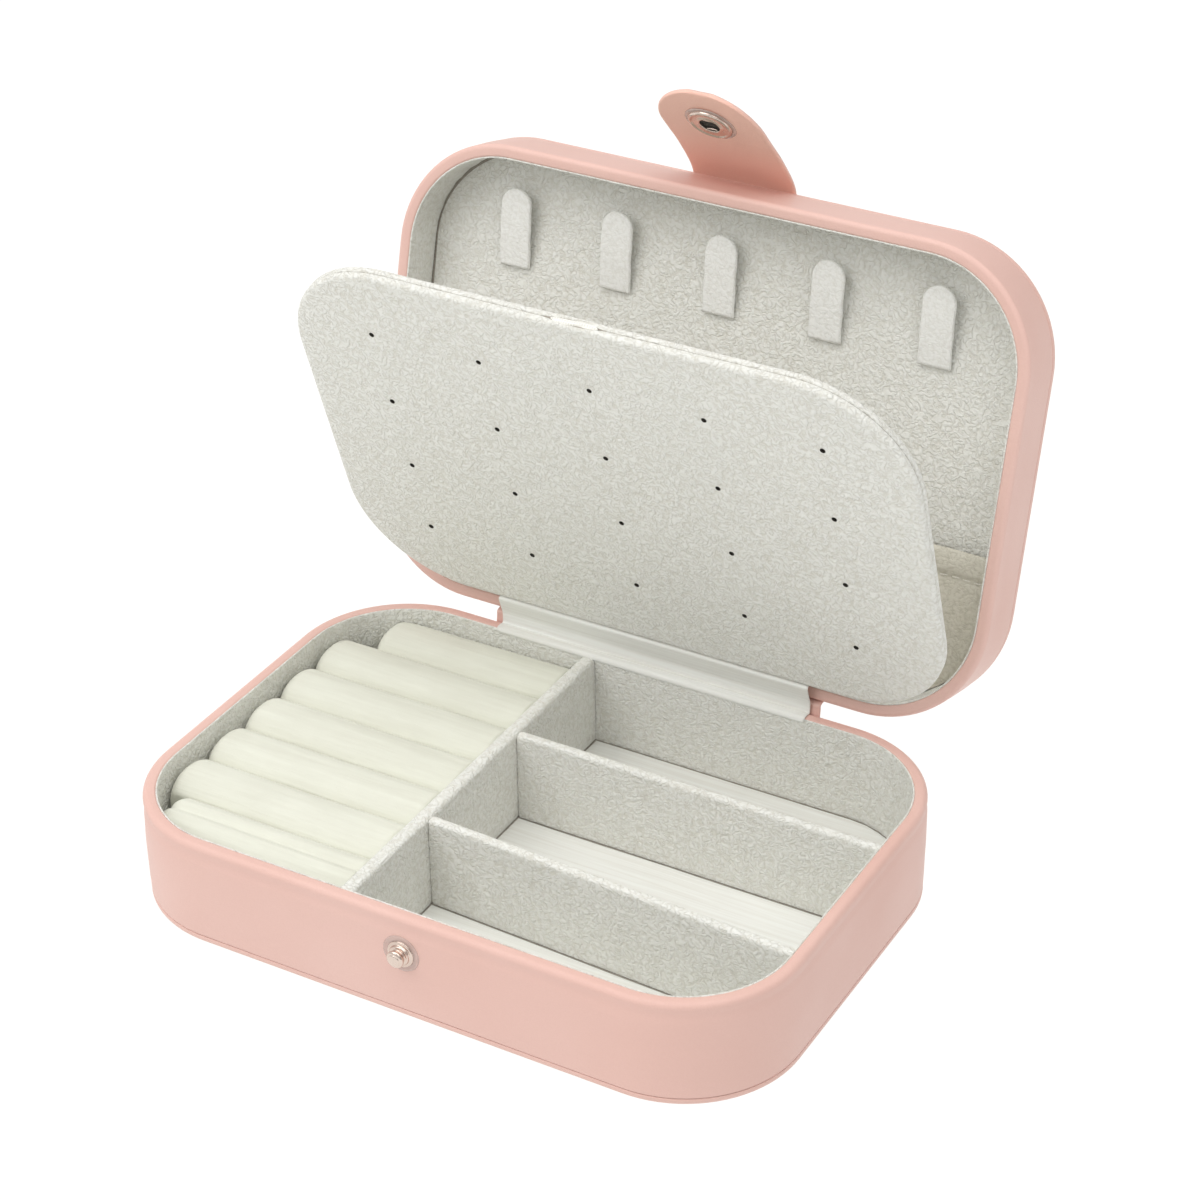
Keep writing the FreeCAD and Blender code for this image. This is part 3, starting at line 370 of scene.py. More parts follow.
@dataclass(frozen=True)
class StreakedLining:
    """Smooth cream leatherette with fine brushed streaks along X, as on floors and strips."""

    name: str = "streaked_cream_lining"
    base: Colour = linear(238, 239, 235)
    deep: Colour = linear(227, 226, 220)
    streak: float = 900.0

    def material(self) -> bpy.types.Material:
        """Builds the finish: noise stretched along X gives colour and height to the streaks.

        Returns:
            The material.
        """
        g = Graph(self.name)
        streaks = g.noise(1.0, 4.0, 0.55, g.stretched((24.0, self.streak, self.streak)))
        soft = g.remap(streaks, 0.32, 0.68)
        colour = g.mix(soft, self.deep, self.base)
        normal = g.bump(soft, 0.00009, 0.5)
        normal = g.bump(g.noise(1900.0, 2.0), 0.00004, 0.4, normal)
        return g.finish(colour, g.remap(soft, 0.0, 1.0, 0.7, 0.58), normal,
                        Specular_IOR_Level=0.35)


@dataclass(frozen=True)
class Velvet:
    """Short warm-white pile: sheen at the edges, brushed streaks along X and a fine fuzz."""

    name: str = "warm_white_velvet"
    base: Colour = linear(229, 230, 218)
    deep: Colour = linear(217, 217, 204)

    def material(self) -> bpy.types.Material:
        """Builds the finish.

        Returns:
            The material.
        """
        g = Graph(self.name)
        streaks = g.remap(g.noise(1.0, 4.0, 0.6, g.stretched((38.0, 520.0, 520.0))), 0.3, 0.7)
        nap = g.remap(g.noise(70.0, 3.0), 0.3, 0.7)
        blend = g.math("ADD", g.math("MULTIPLY", streaks, 0.65), g.math("MULTIPLY", nap, 0.35))
        colour = g.mix(blend, self.deep, self.base)
        fuzz = g.noise(3600.0, 2.0, 0.7)
        normal = g.bump(streaks, 0.00025, 0.5)
        normal = g.bump(fuzz, 0.00012, 0.5, normal)
        return g.finish(colour, 0.92, normal, Sheen_Weight=0.18, Sheen_Roughness=0.45,
                        Specular_IOR_Level=0.2)


@dataclass(frozen=True)
class Cloth:
    """A plain weave, for the elastic, the ribbon and thread."""

    name: str
    base: Colour
    threads: float = 2200.0
    rough: float = 0.75
    sheen: float = 0.2

    def material(self) -> bpy.types.Material:
        """Builds the finish: two crossed waves make the weave.

        Returns:
            The material.
        """
        g = Graph(self.name)
        waves = []
        for direction in ("X", "Y"):
            wave = g.node("ShaderNodeTexWave", bands_direction=direction, Vector=g.place,
                          Scale=self.threads / 6.28, Distortion=0.4)
            waves.append(wave.outputs["Fac"])
        weave = g.math("MAXIMUM", waves[0], waves[1])
        darker = (self.base[0] * 0.82, self.base[1] * 0.82, self.base[2] * 0.8)
        colour = g.mix(weave, darker, self.base)
        normal = g.bump(weave, 0.00006, 0.6)
        return g.finish(colour, self.rough, normal, Sheen_Weight=self.sheen,
                        Sheen_Roughness=0.4)


@dataclass(frozen=True)
class RoseNickel:
    """Polished rose-tinted plated metal: fine turning lines, faint handling marks, painted reflection
    patches.
    """

    name: str = "rose_nickel"
    base: Colour = linear(222, 205, 194)
    rough: float = 0.17

    def material(self) -> bpy.types.Material:
        """Builds the finish.

        Returns:
            The material.
        """
        g = Graph(self.name)
        marks = g.noise(900.0, 4.0, 0.6)
        # Painted reflection: broad patches darken the colour, standing in for surroundings mirrored in
        # the polished metal.
        painted_reflection = g.noise(140.0, 2.0)
        colour = g.mix(g.remap(painted_reflection, 0.35, 0.65, 0.0, 0.5), self.base, linear(196, 172, 160))
        rough = g.remap(marks, 0.3, 0.75, self.rough - 0.06, self.rough + 0.14)
        normal = g.bump(marks, 0.00002, 0.5)
        return g.finish(colour, rough, normal, Metallic=1.0)


@dataclass(frozen=True)
class ClearPlastic:
    """A thin clear washer that mostly shows as an edge and a gloss."""

    name: str = "clear_plastic"
    alpha: float = 0.5

    def material(self) -> bpy.types.Material:
        """Builds the finish.

        Returns:
            The material.
        """
        g = Graph(self.name)
        colour = g.mix(g.remap(g.noise(300.0, 2.0), 0.3, 0.7), linear(224, 206, 198),
                       linear(212, 192, 184))
        rough = g.remap(g.noise(700.0, 3.0), 0.3, 0.7, 0.1, 0.24)
        return g.finish(colour, rough, None, Alpha=self.alpha, Coat_Weight=0.6,
                        Coat_Roughness=0.08)


@dataclass(frozen=True)
class PressedBoard:
    """Grey board: matt, with short pressed fibres."""

    name: str = "grey_board"
    base: Colour = linear(168, 162, 152)

    def material(self) -> bpy.types.Material:
        """Builds the finish.

        Returns:
            The material.
        """
        g = Graph(self.name)
        fibres = g.noise(1.0, 4.0, 0.7, g.stretched((300.0, 900.0, 1500.0)))
        colour = g.mix(g.remap(fibres, 0.35, 0.65), linear(146, 140, 130), self.base)
        return g.finish(colour, 0.9, g.bump(fibres, 0.0002, 0.5))


@dataclass(frozen=True)
class OpenFoam:
    """Off-white open foam with small round cells."""

    name: str = "open_foam"

    def material(self) -> bpy.types.Material:
        """Builds the finish.

        Returns:
            The material.
        """
        g = Graph(self.name)
        cells = g.remap(g.cells(900.0, "F1"), 0.0, 0.6)
        colour = g.mix(cells, linear(206, 202, 190), linear(238, 235, 226))
        return g.finish(colour, 0.95, g.bump(cells, 0.0003, 0.6))


@dataclass(frozen=True)
class HoleShade:
    """Painted shade for the inside of a hole: a near-black wall with a faint mottle."""

    name: str = "hole_painted_shade"

    def material(self) -> bpy.types.Material:
        """Builds the finish.

        Returns:
            The material.
        """
        g = Graph(self.name)
        shade_mottle = g.noise(2500.0, 3.0)
        # Painted shade: two near-black tones, dark for the shade inside a hole.
        colour = g.mix(g.remap(shade_mottle, 0.4, 0.7), linear(38, 35, 32), linear(84, 78, 70))
        return g.finish(colour, 0.95, g.bump(shade_mottle, 0.0001, 0.5))


class Finishes:
    """Every material of the case, made once and given by slot."""

    def __init__(self) -> None:
        """Builds all finishes."""
        self.leather = SoftLeather().material()
        # Painted bounce light: a brighter, warmer copy of the leather for the clasp tab's inner face.
        self.tab_painted_bounce_leather = SoftLeather("strap_inner_painted_bounce_light", linear(241, 199, 184),
                                       linear(237, 188, 171), linear(230, 174, 156)).material()
        self.lining = PebbledLining().material()
        self.hook_lining = PebbledLining("hook_lining", linear(244, 244, 241),
                                         linear(232, 231, 226), 1200.0, 0.00015).material()
        # Painted shade: a darker, warmer copy of the lining for the pocket, which lies in the flap's
        # shadow.
        self.pocket_lining_painted_shade = PebbledLining("pocket_lining_painted_shade", linear(212, 207, 192),
                                           linear(192, 186, 169), 980.0, 0.0002).material()
        self.streaked = StreakedLining().material()
        self.velvet = Velvet().material()
        self.metal = RoseNickel().material()
        self.clear = ClearPlastic().material()
        self.board = PressedBoard().material()
        self.foam = OpenFoam().material()
        self.elastic = Cloth("woven_elastic", linear(224, 220, 208)).material()
        self.ribbon = Cloth("satin_ribbon", linear(243, 242, 236), 3200.0, 0.32, 0.5).material()
        self.thread = Cloth("sewing_thread", linear(232, 229, 219), 5200.0, 0.6, 0.3).material()
        self.dark = HoleShade().material()
        self.by_slot = {
            Slot.LEATHER: self.leather, Slot.BOARD: self.board, Slot.LINING: self.lining,
            Slot.VELVET: self.velvet, Slot.FOAM: self.foam, Slot.ELASTIC: self.elastic,
            Slot.RIBBON: self.ribbon, Slot.METAL: self.metal, Slot.CLEAR: self.clear,
        }


# ---------------------------------------------------------------------------------------------
# Surfaces
# ---------------------------------------------------------------------------------------------


def add_mesh(name: str, points: Array, faces: Array) -> bpy.types.Object:
    """Puts vertices and smooth-shaded faces of three or four corners into a new object.

    Args:
        name: the piece's name.
        points: vertices in millimetres, shape (n, 3).
        faces: corner indices, shape (m, 3) or (m, 4).

    Returns:
        The object, at the origin.
    """
    mesh = bpy.data.meshes.new(name)
    corners = faces.shape[1]
    mesh.vertices.add(len(points))
    mesh.vertices.foreach_set("co", (points * MM).astype(np.float32).ravel())
    mesh.loops.add(faces.size)
    mesh.loops.foreach_set("vertex_index", faces.astype(np.int32).ravel())
    mesh.polygons.add(len(faces))
    starts = np.arange(0, faces.size, corners, dtype=np.int32)
    mesh.polygons.foreach_set("loop_start", starts)
    mesh.polygons.foreach_set("use_smooth", np.full(len(faces), True))
    mesh.update(calc_edges=True)
    mesh.validate()
    made = bpy.data.objects.new(name, mesh)
    bpy.context.scene.collection.objects.link(made)
    return made


def grid_faces(rows: int, columns: int, close_columns: bool = False) -> Array:
    """Four-cornered faces of a grid of vertices, row by row.

    Args:
        rows: vertices down.
        columns: vertices across.
        close_columns: whether the last column joins the first.

    Returns:
        The faces, shape (m, 4).
    """
    over = np.arange(columns if close_columns else columns - 1)
    row, column = np.meshgrid(np.arange(rows - 1), over, indexing="ij")
    beside = (column + 1) % columns
    here = row * columns
    below = here + columns
    faces = np.stack([here + column, here + beside, below + beside, below + column], -1)
    return faces.reshape(-1, 4)


def skin(grid: Array, flipped: bool = False, closed: bool = True) -> tuple[Array, Array]:
    """A grid of vertices with its faces, ready to be joined.

    Args:
        grid: vertices, shape (rows, columns, 3).
        flipped: whether the faces look the other way.
        closed: whether the last column joins the first.

    Returns:
        The vertices and the faces.
    """
    faces = grid_faces(grid.shape[0], grid.shape[1], closed)
    return grid, faces[:, ::-1] if flipped else faces


def joined(name: str, grids: Sequence[tuple[Array, Array]], weld: float = 0.004
           ) -> bpy.types.Object:
    """Makes one object of several vertex and face sets, welded where they meet.

    Args:
        name: the piece's name.
        grids: pairs of vertices and faces; all faces are split to triangles.
        weld: vertices nearer than this, in millimetres, become one.

    Returns:
        The object.
    """
    points = []
    faces = []
    count = 0
    for vertices, cells in grids:
        if cells.shape[1] == 4:
            cells = np.concatenate([cells[:, [0, 1, 2]], cells[:, [0, 2, 3]]])
        points.append(vertices.reshape(-1, 3))
        faces.append(cells + count)
        count += len(points[-1])
    every = np.concatenate(points)
    keys = np.round(every / weld).astype(np.int64)
    _, first, back = np.unique(keys, axis=0, return_index=True, return_inverse=True)
    cells = back.reshape(-1)[np.concatenate(faces)]
    flat = (cells[:, 0] == cells[:, 1]) | (cells[:, 1] == cells[:, 2]) | (cells[:, 0] == cells[:, 2])
    return add_mesh(name, every[first], cells[~flat])


def ripple(points: Array, wave: float, seed: int) -> Array:
    """Smooth pseudo-random heights from a fixed sum of six sine waves in space.

    Args:
        points: places in millimetres, shape (..., 3).
        wave: shortest wavelength in millimetres.
        seed: picks the waves.

    Returns:
        Heights of about -1 to 1, shape (...).
    """
    chooser = np.random.default_rng(seed)
    total = np.zeros(points.shape[:-1])
    for _ in range(6):
        direction = chooser.normal(size=3)
        direction /= np.linalg.norm(direction)
        length = wave * chooser.uniform(1.0, 2.4)
        total += np.sin(points @ direction * (2 * math.pi / length) + chooser.uniform(0, 6.28))
    return total / 3.0


@dataclass(frozen=True)
class RoundedOutline:
    """A rectangle with round corners, as centres and outward normals round its edge.

    A point at inset d is centre + (radius - d) * normal, so every inset keeps its own true arc.
    """

    width: float
    depth: float
    radius: float
    middle: float = 0.0
    per_corner: int = 22
    per_side: int = 36

    def rails(self) -> tuple[Array, Array]:
        """Centres and normals, going round once from the right side.

        Returns:
            Two arrays of shape (n, 2).
        """
        half = np.array([self.width / 2 - self.radius, self.depth / 2 - self.radius])
        signs = np.array([(1, 1), (-1, 1), (-1, -1), (1, -1)])
        spots = signs * half
        centres = []
        normals = []
        for corner in range(4):
            turn = (corner + np.linspace(0, 1, self.per_corner)) * math.pi / 2
            centres.append(np.repeat(spots[corner][None], self.per_corner, 0))
            normals.append(np.stack([np.cos(turn), np.sin(turn)], 1))
            share = np.linspace(0, 1, self.per_side + 2)[1:-1, None]
            centres.append(spots[corner] * (1 - share) + spots[(corner + 1) % 4] * share)
            normals.append(np.repeat(normals[-1][-1][None], self.per_side, 0))
        return np.concatenate(centres) + np.array([0.0, self.middle]), np.concatenate(normals)

    def at(self, inset: Array, height: Array) -> Array:
        """Carries a profile round the outline.

        Args:
            inset: inward distance of each profile point, shape (k,) or (k, n).
            height: height of each profile point, the same shape.

        Returns:
            Points of shape (k, n, 3).
        """
        centres, normals = self.rails()
        inset = np.asarray(inset, float)
        height = np.asarray(height, float)
        if inset.ndim == 1:
            inset = inset[:, None]
            height = height[:, None]
        reach = self.radius - inset
        flat = centres[None] + reach[..., None] * normals[None]
        level = np.broadcast_to(height, flat.shape[:2])
        return np.concatenate([flat, level[..., None]], -1)

    def shrunk(self, share: Array, height: float) -> Array:
        """Rings of the outline drawn towards its middle, for closing a flat face.

        Args:
            share: 1 for the outline's innermost arc line, 0 for the middle.
            height: the face's height.

        Returns:
            Points of shape (k, n, 3).
        """
        ring = self.at(np.array([0.0]), np.array([height]))[0]
        middle = np.array([0.0, self.middle, height])
        return middle + (ring - middle) * np.asarray(share)[:, None, None]


def arc_profile(centre: tuple[float, float], across: float, up: float, start: float,
                end: float, count: int) -> Array:
    """Points on an ellipse's arc: centre + (across cos t, up sin t).

    Args:
        centre: (inset, height) of the ellipse.
        across: half width.
        up: half height.
        start: first angle in degrees.
        end: last angle in degrees.
        count: number of points.

    Returns:
        (inset, height) pairs, shape (count, 2).
    """
    turn = np.radians(np.linspace(start, end, count))
    return np.stack([centre[0] + across * np.cos(turn), centre[1] + up * np.sin(turn)], 1)


def lathe(name: str, profile: Array, place: Array, axis: Array, count: int = 72
          ) -> bpy.types.Object:
    """Turns a profile of (radius, height) about an axis.

    Args:
        name: the piece's name.
        profile: (radius, height) pairs from one end to the other, in millimetres.
        place: where height 0 is, in millimetres.
        axis: direction of height.
        count: points round the turn.

    Returns:
        The object.
    """
    up = Vector(axis).normalized()
    turn = np.array(Vector((0, 0, 1)).rotation_difference(up).to_matrix())
    angle = np.linspace(0, 2 * math.pi, count, endpoint=False)
    radius = profile[:, 0][:, None]
    points = np.stack([radius * np.cos(angle), radius * np.sin(angle),
                       np.repeat(profile[:, 1][:, None], count, 1)], -1)
    return joined(name, [skin(points @ turn.T + np.asarray(place))])


def smooth_path(knots: Array, count: int) -> Array:
    """A curve through knots by Catmull-Rom: each span is a cubic with its neighbours' slope.

    Args:
        knots: points, shape (k, d).
        count: points on the curve.

    Returns:
        The curve, shape (count, d), evenly spaced in knot number.
    """
    padded = np.concatenate([2 * knots[:1] - knots[1:2], knots, 2 * knots[-1:] - knots[-2:-1]])
    t = np.linspace(0, len(knots) - 1 - 1e-9, count)
    i = t.astype(int)
    f = (t - i)[:, None]
    a, b, c, d = padded[i], padded[i + 1], padded[i + 2], padded[i + 3]
    return 0.5 * (2 * b + (c - a) * f + (2 * a - 5 * b + 4 * c - d) * f**2
                  + (3 * b - a - 3 * c + d) * f**3)


def slab(name: str, sheet: Array, normal: Array, gauge: float, edge: float
         ) -> bpy.types.Object:
    """Gives a curved sheet a thickness with rounded edges.

    The skin is two copies of the sheet, moved by plus and minus half the gauge along the normal.
    They draw together and meet along the whole border.

    Args:
        name: the piece's name.
        sheet: the middle surface, shape (rows, columns, 3), rows from edge to edge.
        normal: its normals, the same shape.
        gauge: thickness.
        edge: how far the rounded edge reaches in from the sheet's border.

    Returns:
        The object.
    """
    rows, columns = sheet.shape[:2]
    # Near each border the half gauge follows a quarter circle down to nothing.
    across = np.linalg.norm(np.diff(sheet, axis=0, prepend=sheet[:1]), axis=-1).cumsum(0)
    along = np.linalg.norm(np.diff(sheet, axis=1, prepend=sheet[:, :1]), axis=-1).cumsum(1)
    near = np.minimum(np.minimum(across, across[-1:] - across),
                      np.minimum(along, along[:, -1:] - along))
    share = np.clip(near / edge, 0, 1)
    half = gauge / 2 * np.sqrt(np.clip(1 - (1 - share) ** 2, 0, 1))
    top = sheet + normal * half[..., None]
    low = sheet - normal * half[..., None]
    faces = grid_faces(rows, columns)
    return joined(name, [(top, faces), (low, faces[:, ::-1])])


def surface_normals(grid: Array) -> Array:
    """Normals of a grid from its central differences, column direction crossed with row.

    Args:
        grid: shape (rows, columns, 3).

    Returns:
        Unit normals, the same shape.
    """
    across = np.cross(np.gradient(grid, axis=1), np.gradient(grid, axis=0))
    size = np.linalg.norm(across, axis=-1, keepdims=True)
    return across / np.maximum(size, 1e-9)


# ---------------------------------------------------------------------------------------------
# The case's shared sizes and its hinge
# ---------------------------------------------------------------------------------------------


@dataclass(frozen=True)
class CaseSizes:
    """Sizes that the sub-assemblies share, in millimetres and degrees."""

    width: float = 165.0
    depth: float = 113.5
    radius: float = 28.2
    base_rim: float = 27.2
    lid_rim: float = 28.1
    lid_top: float = 45.1
    wall: float = 3.0
    lined: float = 3.4
    floor: float = 3.4
    hinge_y: float = 57.92
    hinge_z: float = 29.1
    lid_angle: float = 104.5
    flap_share: float = 0.68
    hooks: int = 5
    hook_pitch: float = 27.8
    hook_root_y: float = -25.6
    spine_half: float = 44.5
    strip_half: float = 42.25

    def outline(self) -> RoundedOutline:
        """The case's outer edge."""
        return RoundedOutline(self.width, self.depth, self.radius)

    def hook_x(self, index: int) -> float:
        """Where a necklace hook stands across the lid; index 0 is on the left."""
        return (index - self.hooks // 2) * self.hook_pitch

    def opened(self, points: Array, angle: float) -> Array:
        """Turns points of the shut case about the hinge line.

        Args:
            points: shape (..., 3), in millimetres.
            angle: degrees of opening.

        Returns:
            The turned points.
        """
        turn = math.radians(-angle)
        y = points[..., 1] - self.hinge_y
        z = points[..., 2] - self.hinge_z
        turned = np.array(points, float)
        turned[..., 1] = self.hinge_y + y * math.cos(turn) - z * math.sin(turn)
        turned[..., 2] = self.hinge_z + y * math.sin(turn) + z * math.cos(turn)
        return turned

    def lid(self, points: Array) -> Array:
        """Turns points of the shut lid to the open lid."""
        return self.opened(points, self.lid_angle)

    def lid_direction(self, vectors: Array) -> Array:
        """Turns directions of the shut lid to the open lid."""
        return self.lid(vectors) - self.lid(np.zeros(3))

    def flap(self, points: Array) -> Array:
        """Turns points of the shut flap to the open flap."""
        return self.opened(points, self.lid_angle * self.flap_share)


@dataclass
class SubAssembly:
    """What every sub-assembly shares: the case's sizes, its finishes and a way to hand over."""

    case: CaseSizes
    finishes: Finishes
    made: list[str] = field(default_factory=list)

    def hand_over(self, piece: bpy.types.Object, finish: bpy.types.Material, slot: Slot,
                  body: Optional[Body | str], replaced: Sequence[str] = ()) -> bpy.types.Object:
        """Dresses a piece and puts it on its body.

        Args:
            piece: the finished mesh.
            finish: its material.
            slot: the record's slot it stands for; not used.
            body: the body it rides on, or None for a piece that spans two bodies and rides on neither.
            replaced: CAD nodes that it stands for.

        Returns:
            The piece.
        """
        piece.data.materials.clear()
        piece.data.materials.append(finish)
        if body is not None:
            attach(piece, body.value if isinstance(body, Body) else body)
        if replaced:
            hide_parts(*replaced)
        self.made.append(piece.name)
        return piece

    def report(self) -> None:
        """Logs each piece of this sub-assembly."""
        for name in self.made:
            log.info("%s: %s", type(self).__name__, name)


# ---------------------------------------------------------------------------------------------
# Base
# ---------------------------------------------------------------------------------------------


@dataclass
class BaseShell(SubAssembly):
    """The base's leather wrap, its bottom panel and the lining round the tray."""

    rim_round: float = 1.4
    groove_height: float = 1.9
    groove_depth: float = 0.28
    bottom_round: float = 1.25
    rim_dent: float = 0.32
    rim_dent_drop: float = 3.2
    pucker: float = 0.16
    pucker_waves: float = 34.0
    lining_steps: int = 24

    def build(self) -> None:
        """Makes the three skins."""
        self.wall_wrap()
        self.bottom_wrap()
        self.wall_lining()
        self.report()

    def wall_wrap(self) -> None:
        """The wall's leather: up the outside, over a round rim and down to the lining.

        The profile is a quarter ellipse at each rim edge, a straight wall with one shallow dent
        that follows the rim, and a tuck into the groove above the bottom panel.
        """
        rim = self.case.base_rim
        r = self.rim_round
        inner = arc_profile((self.case.wall - 0.5, rim - 0.55), 0.5, 0.5, 0, 90, 7)
        outer = arc_profile((r, rim - r * 0.9), -r, r * 0.9, 90, 0, 12)
        drop = np.linspace(0.3, rim - r * 0.9 - self.groove_height - 0.6, 26)
        wall_z = rim - r * 0.9 - drop
        dent = self.rim_dent * np.exp(-((rim - wall_z - self.rim_dent_drop) / 0.9) ** 2)
        belly = -0.12 * np.sin(math.pi * drop / drop[-1])
        wall = np.stack([dent + belly, wall_z], 1)
        tuck = arc_profile((self.groove_depth, self.groove_height + 0.6), -self.groove_depth, 0.55,
                           0, -88, 7)
        profile = np.concatenate([inner, outer, wall, tuck])
        outline = self.case.outline()
        grid = outline.at(profile[:, 0], profile[:, 1])
        outward = np.concatenate([np.broadcast_to(outline.rails()[1][None], grid.shape[:2] + (2,)),
                                  np.zeros(grid.shape[:2] + (1,))], -1)
        share = np.clip((rim - 0.8 - grid[..., 2]) / 4.0, 0, 1)
        grid = grid + outward * (ripple(grid * [1, 1, 4], 30, 4) * 0.05 * share)[..., None]
        piece = joined("base_wall_wrap", [skin(grid, flipped=True)])
        self.hand_over(piece, self.finishes.leather, Slot.LEATHER, Body.BASE,
                       ["base_wall_leather"])

    def bottom_wrap(self) -> None:
        """The bottom panel's leather: a round edge under the groove and a flat underside."""
        r = self.bottom_round
        lip = arc_profile((self.groove_depth, self.groove_height - 0.5), -self.groove_depth, 0.45,
                          88, 0, 7)
        edge = arc_profile((r, r), -r, r, 0, -90, 12)
        edge[:, 1] = np.maximum(edge[:, 1], 0.0)
        outline = self.case.outline()
        profile = np.concatenate([[[1.2, self.groove_height - 0.05]], lip, edge])
        side = outline.at(profile[:, 0], profile[:, 1])
        inner = RoundedOutline(self.case.width - 2 * r, self.case.depth - 2 * r,
                               self.case.radius - r)
        under = inner.shrunk(np.linspace(1, 0, 12), 0.0)
        piece = joined("base_bottom_wrap", [skin(side, flipped=True), skin(under, flipped=True)])
        self.hand_over(piece, self.finishes.leather, Slot.LEATHER, Body.BASE,
                       ["base_bottom_leather"])

    def wall_lining(self) -> None:
        """The lining inside the wall, with a soft top edge and small puckers in the corners."""
        rim = self.case.base_rim
        top = arc_profile((3.18, rim - 0.38), 0.22, 0.25, 180, 0, 9)
        levels = np.linspace(rim - 0.6, self.case.floor - 0.3, self.lining_steps)
        down = np.stack([np.full(self.lining_steps, self.case.lined), levels], 1)
        profile = np.concatenate([top, down])
        outline = self.case.outline()
        normals = outline.rails()[1]
        corner = (np.abs(normals[:, 0] * normals[:, 1]) * 2)[None]
        heights = profile[:, 1][:, None]
        angle = np.arctan2(normals[:, 1], normals[:, 0])[None]
        wave = np.sin(angle * self.pucker_waves + np.sin(heights * 0.35) * 1.5)
        pucker = corner * self.pucker * wave
        fade = np.clip((rim - 0.5 - heights) / 2.0, 0, 1)
        inset = profile[:, 0][:, None] + pucker * fade
        grid = outline.at(inset, np.broadcast_to(heights, inset.shape))
        waves = ripple(grid[len(top):], 14, 11) * 0.05
        grid[len(top):, :, :2] -= normals[None] * waves[..., None]
        piece = joined("base_wall_lining_skin", [skin(grid)])
        self.hand_over(piece, self.finishes.lining, Slot.LINING, Body.BASE, ["base_wall_lining"])


@dataclass
class TrayFloors(SubAssembly):
    """One lined card on the floor of each compartment, a hair short of the walls."""

    divider_right: float = -14.5
    gap: float = 0.45
    rise: float = 0.105
    edge_drop: float = 0.3
    edge_width: float = 0.8
    length: float = 90.0
    rear_divider: tuple[float, float] = (15.95, 18.55)
    front_divider_left: tuple[float, float] = (-22.75, -20.15)
    front_divider_right: tuple[float, float] = (-26.6, -24.0)

    def build(self) -> None:
        """Makes the cards of the rear, middle and front compartments."""
        wall = self.case.depth / 2 - self.case.lined
        front_left, back_left = self.front_divider_left
        front_right, back_right = self.front_divider_right
        rear_front, rear_back = self.rear_divider
        bays = {
            "tray_floor_rear": (rear_back, wall, rear_back, wall),
            "tray_floor_middle": (back_left, rear_front, back_right, rear_front),
            "tray_floor_front": (-wall, front_left, -wall, front_right),
        }
        for index, (name, bay) in enumerate(bays.items()):
            replaced = ["base_floor_lining"] if index == 0 else []
            piece = self.card(name, bay, index)
            self.hand_over(piece, self.finishes.streaked, Slot.LINING, Body.BASE, replaced)
        self.report()

    def card(self, name: str, bay: tuple[float, float, float, float], seed: int
             ) -> bpy.types.Object:
        """A card that fills one bay, clipped to the tray's round corners.

        Each row of the grid runs from the long divider to the wall.  The wall's place along X
        at a depth y follows the corner's circle: x = centre + sqrt(r^2 - (|y| - y0)^2).

        Args:
            name: the piece's name.
            bay: near and far Y at the divider, then near and far Y at the right wall.
            seed: picks the card's slight waves.

        Returns:
            The piece.
        """
        half_w = self.case.width / 2 - self.case.lined - self.gap
        half_d = self.case.depth / 2 - self.case.lined - self.gap
        r = self.case.radius - self.case.lined - self.gap
        t = np.linspace(0, 1, 40)[:, None]
        s = np.linspace(0, 1, 90)[None]
        left_y = bay[0] + self.gap + t * (bay[1] - bay[0] - 2 * self.gap)
        right_y = bay[2] + self.gap + t * (bay[3] - bay[2] - 2 * self.gap)
        y = left_y * (1 - s) + right_y * s
        y = np.clip(y, -half_d + 0.02, half_d - 0.02)
        over = np.maximum(np.abs(y) - (half_d - r), 0)
        wall = half_w - r + np.sqrt(np.maximum(r * r - over * over, 0))
        x = self.divider_right + self.gap + s * (wall - self.divider_right - self.gap)
        across = np.minimum(t, 1 - t) * (bay[1] - bay[0])
        border = np.minimum(across, np.minimum(s, 1 - s) * self.length)
        drop = self.edge_drop * (1 - np.clip(border / self.edge_width, 0, 1)) ** 2
        z = self.case.floor - 0.02 + self.rise * np.sin(math.pi * t) - drop
        grid = np.stack([x, y, z], -1)
        grid[..., 2] += ripple(grid, 26, 30 + seed) * 0.05
        return joined(name, [skin(grid, closed=False)])


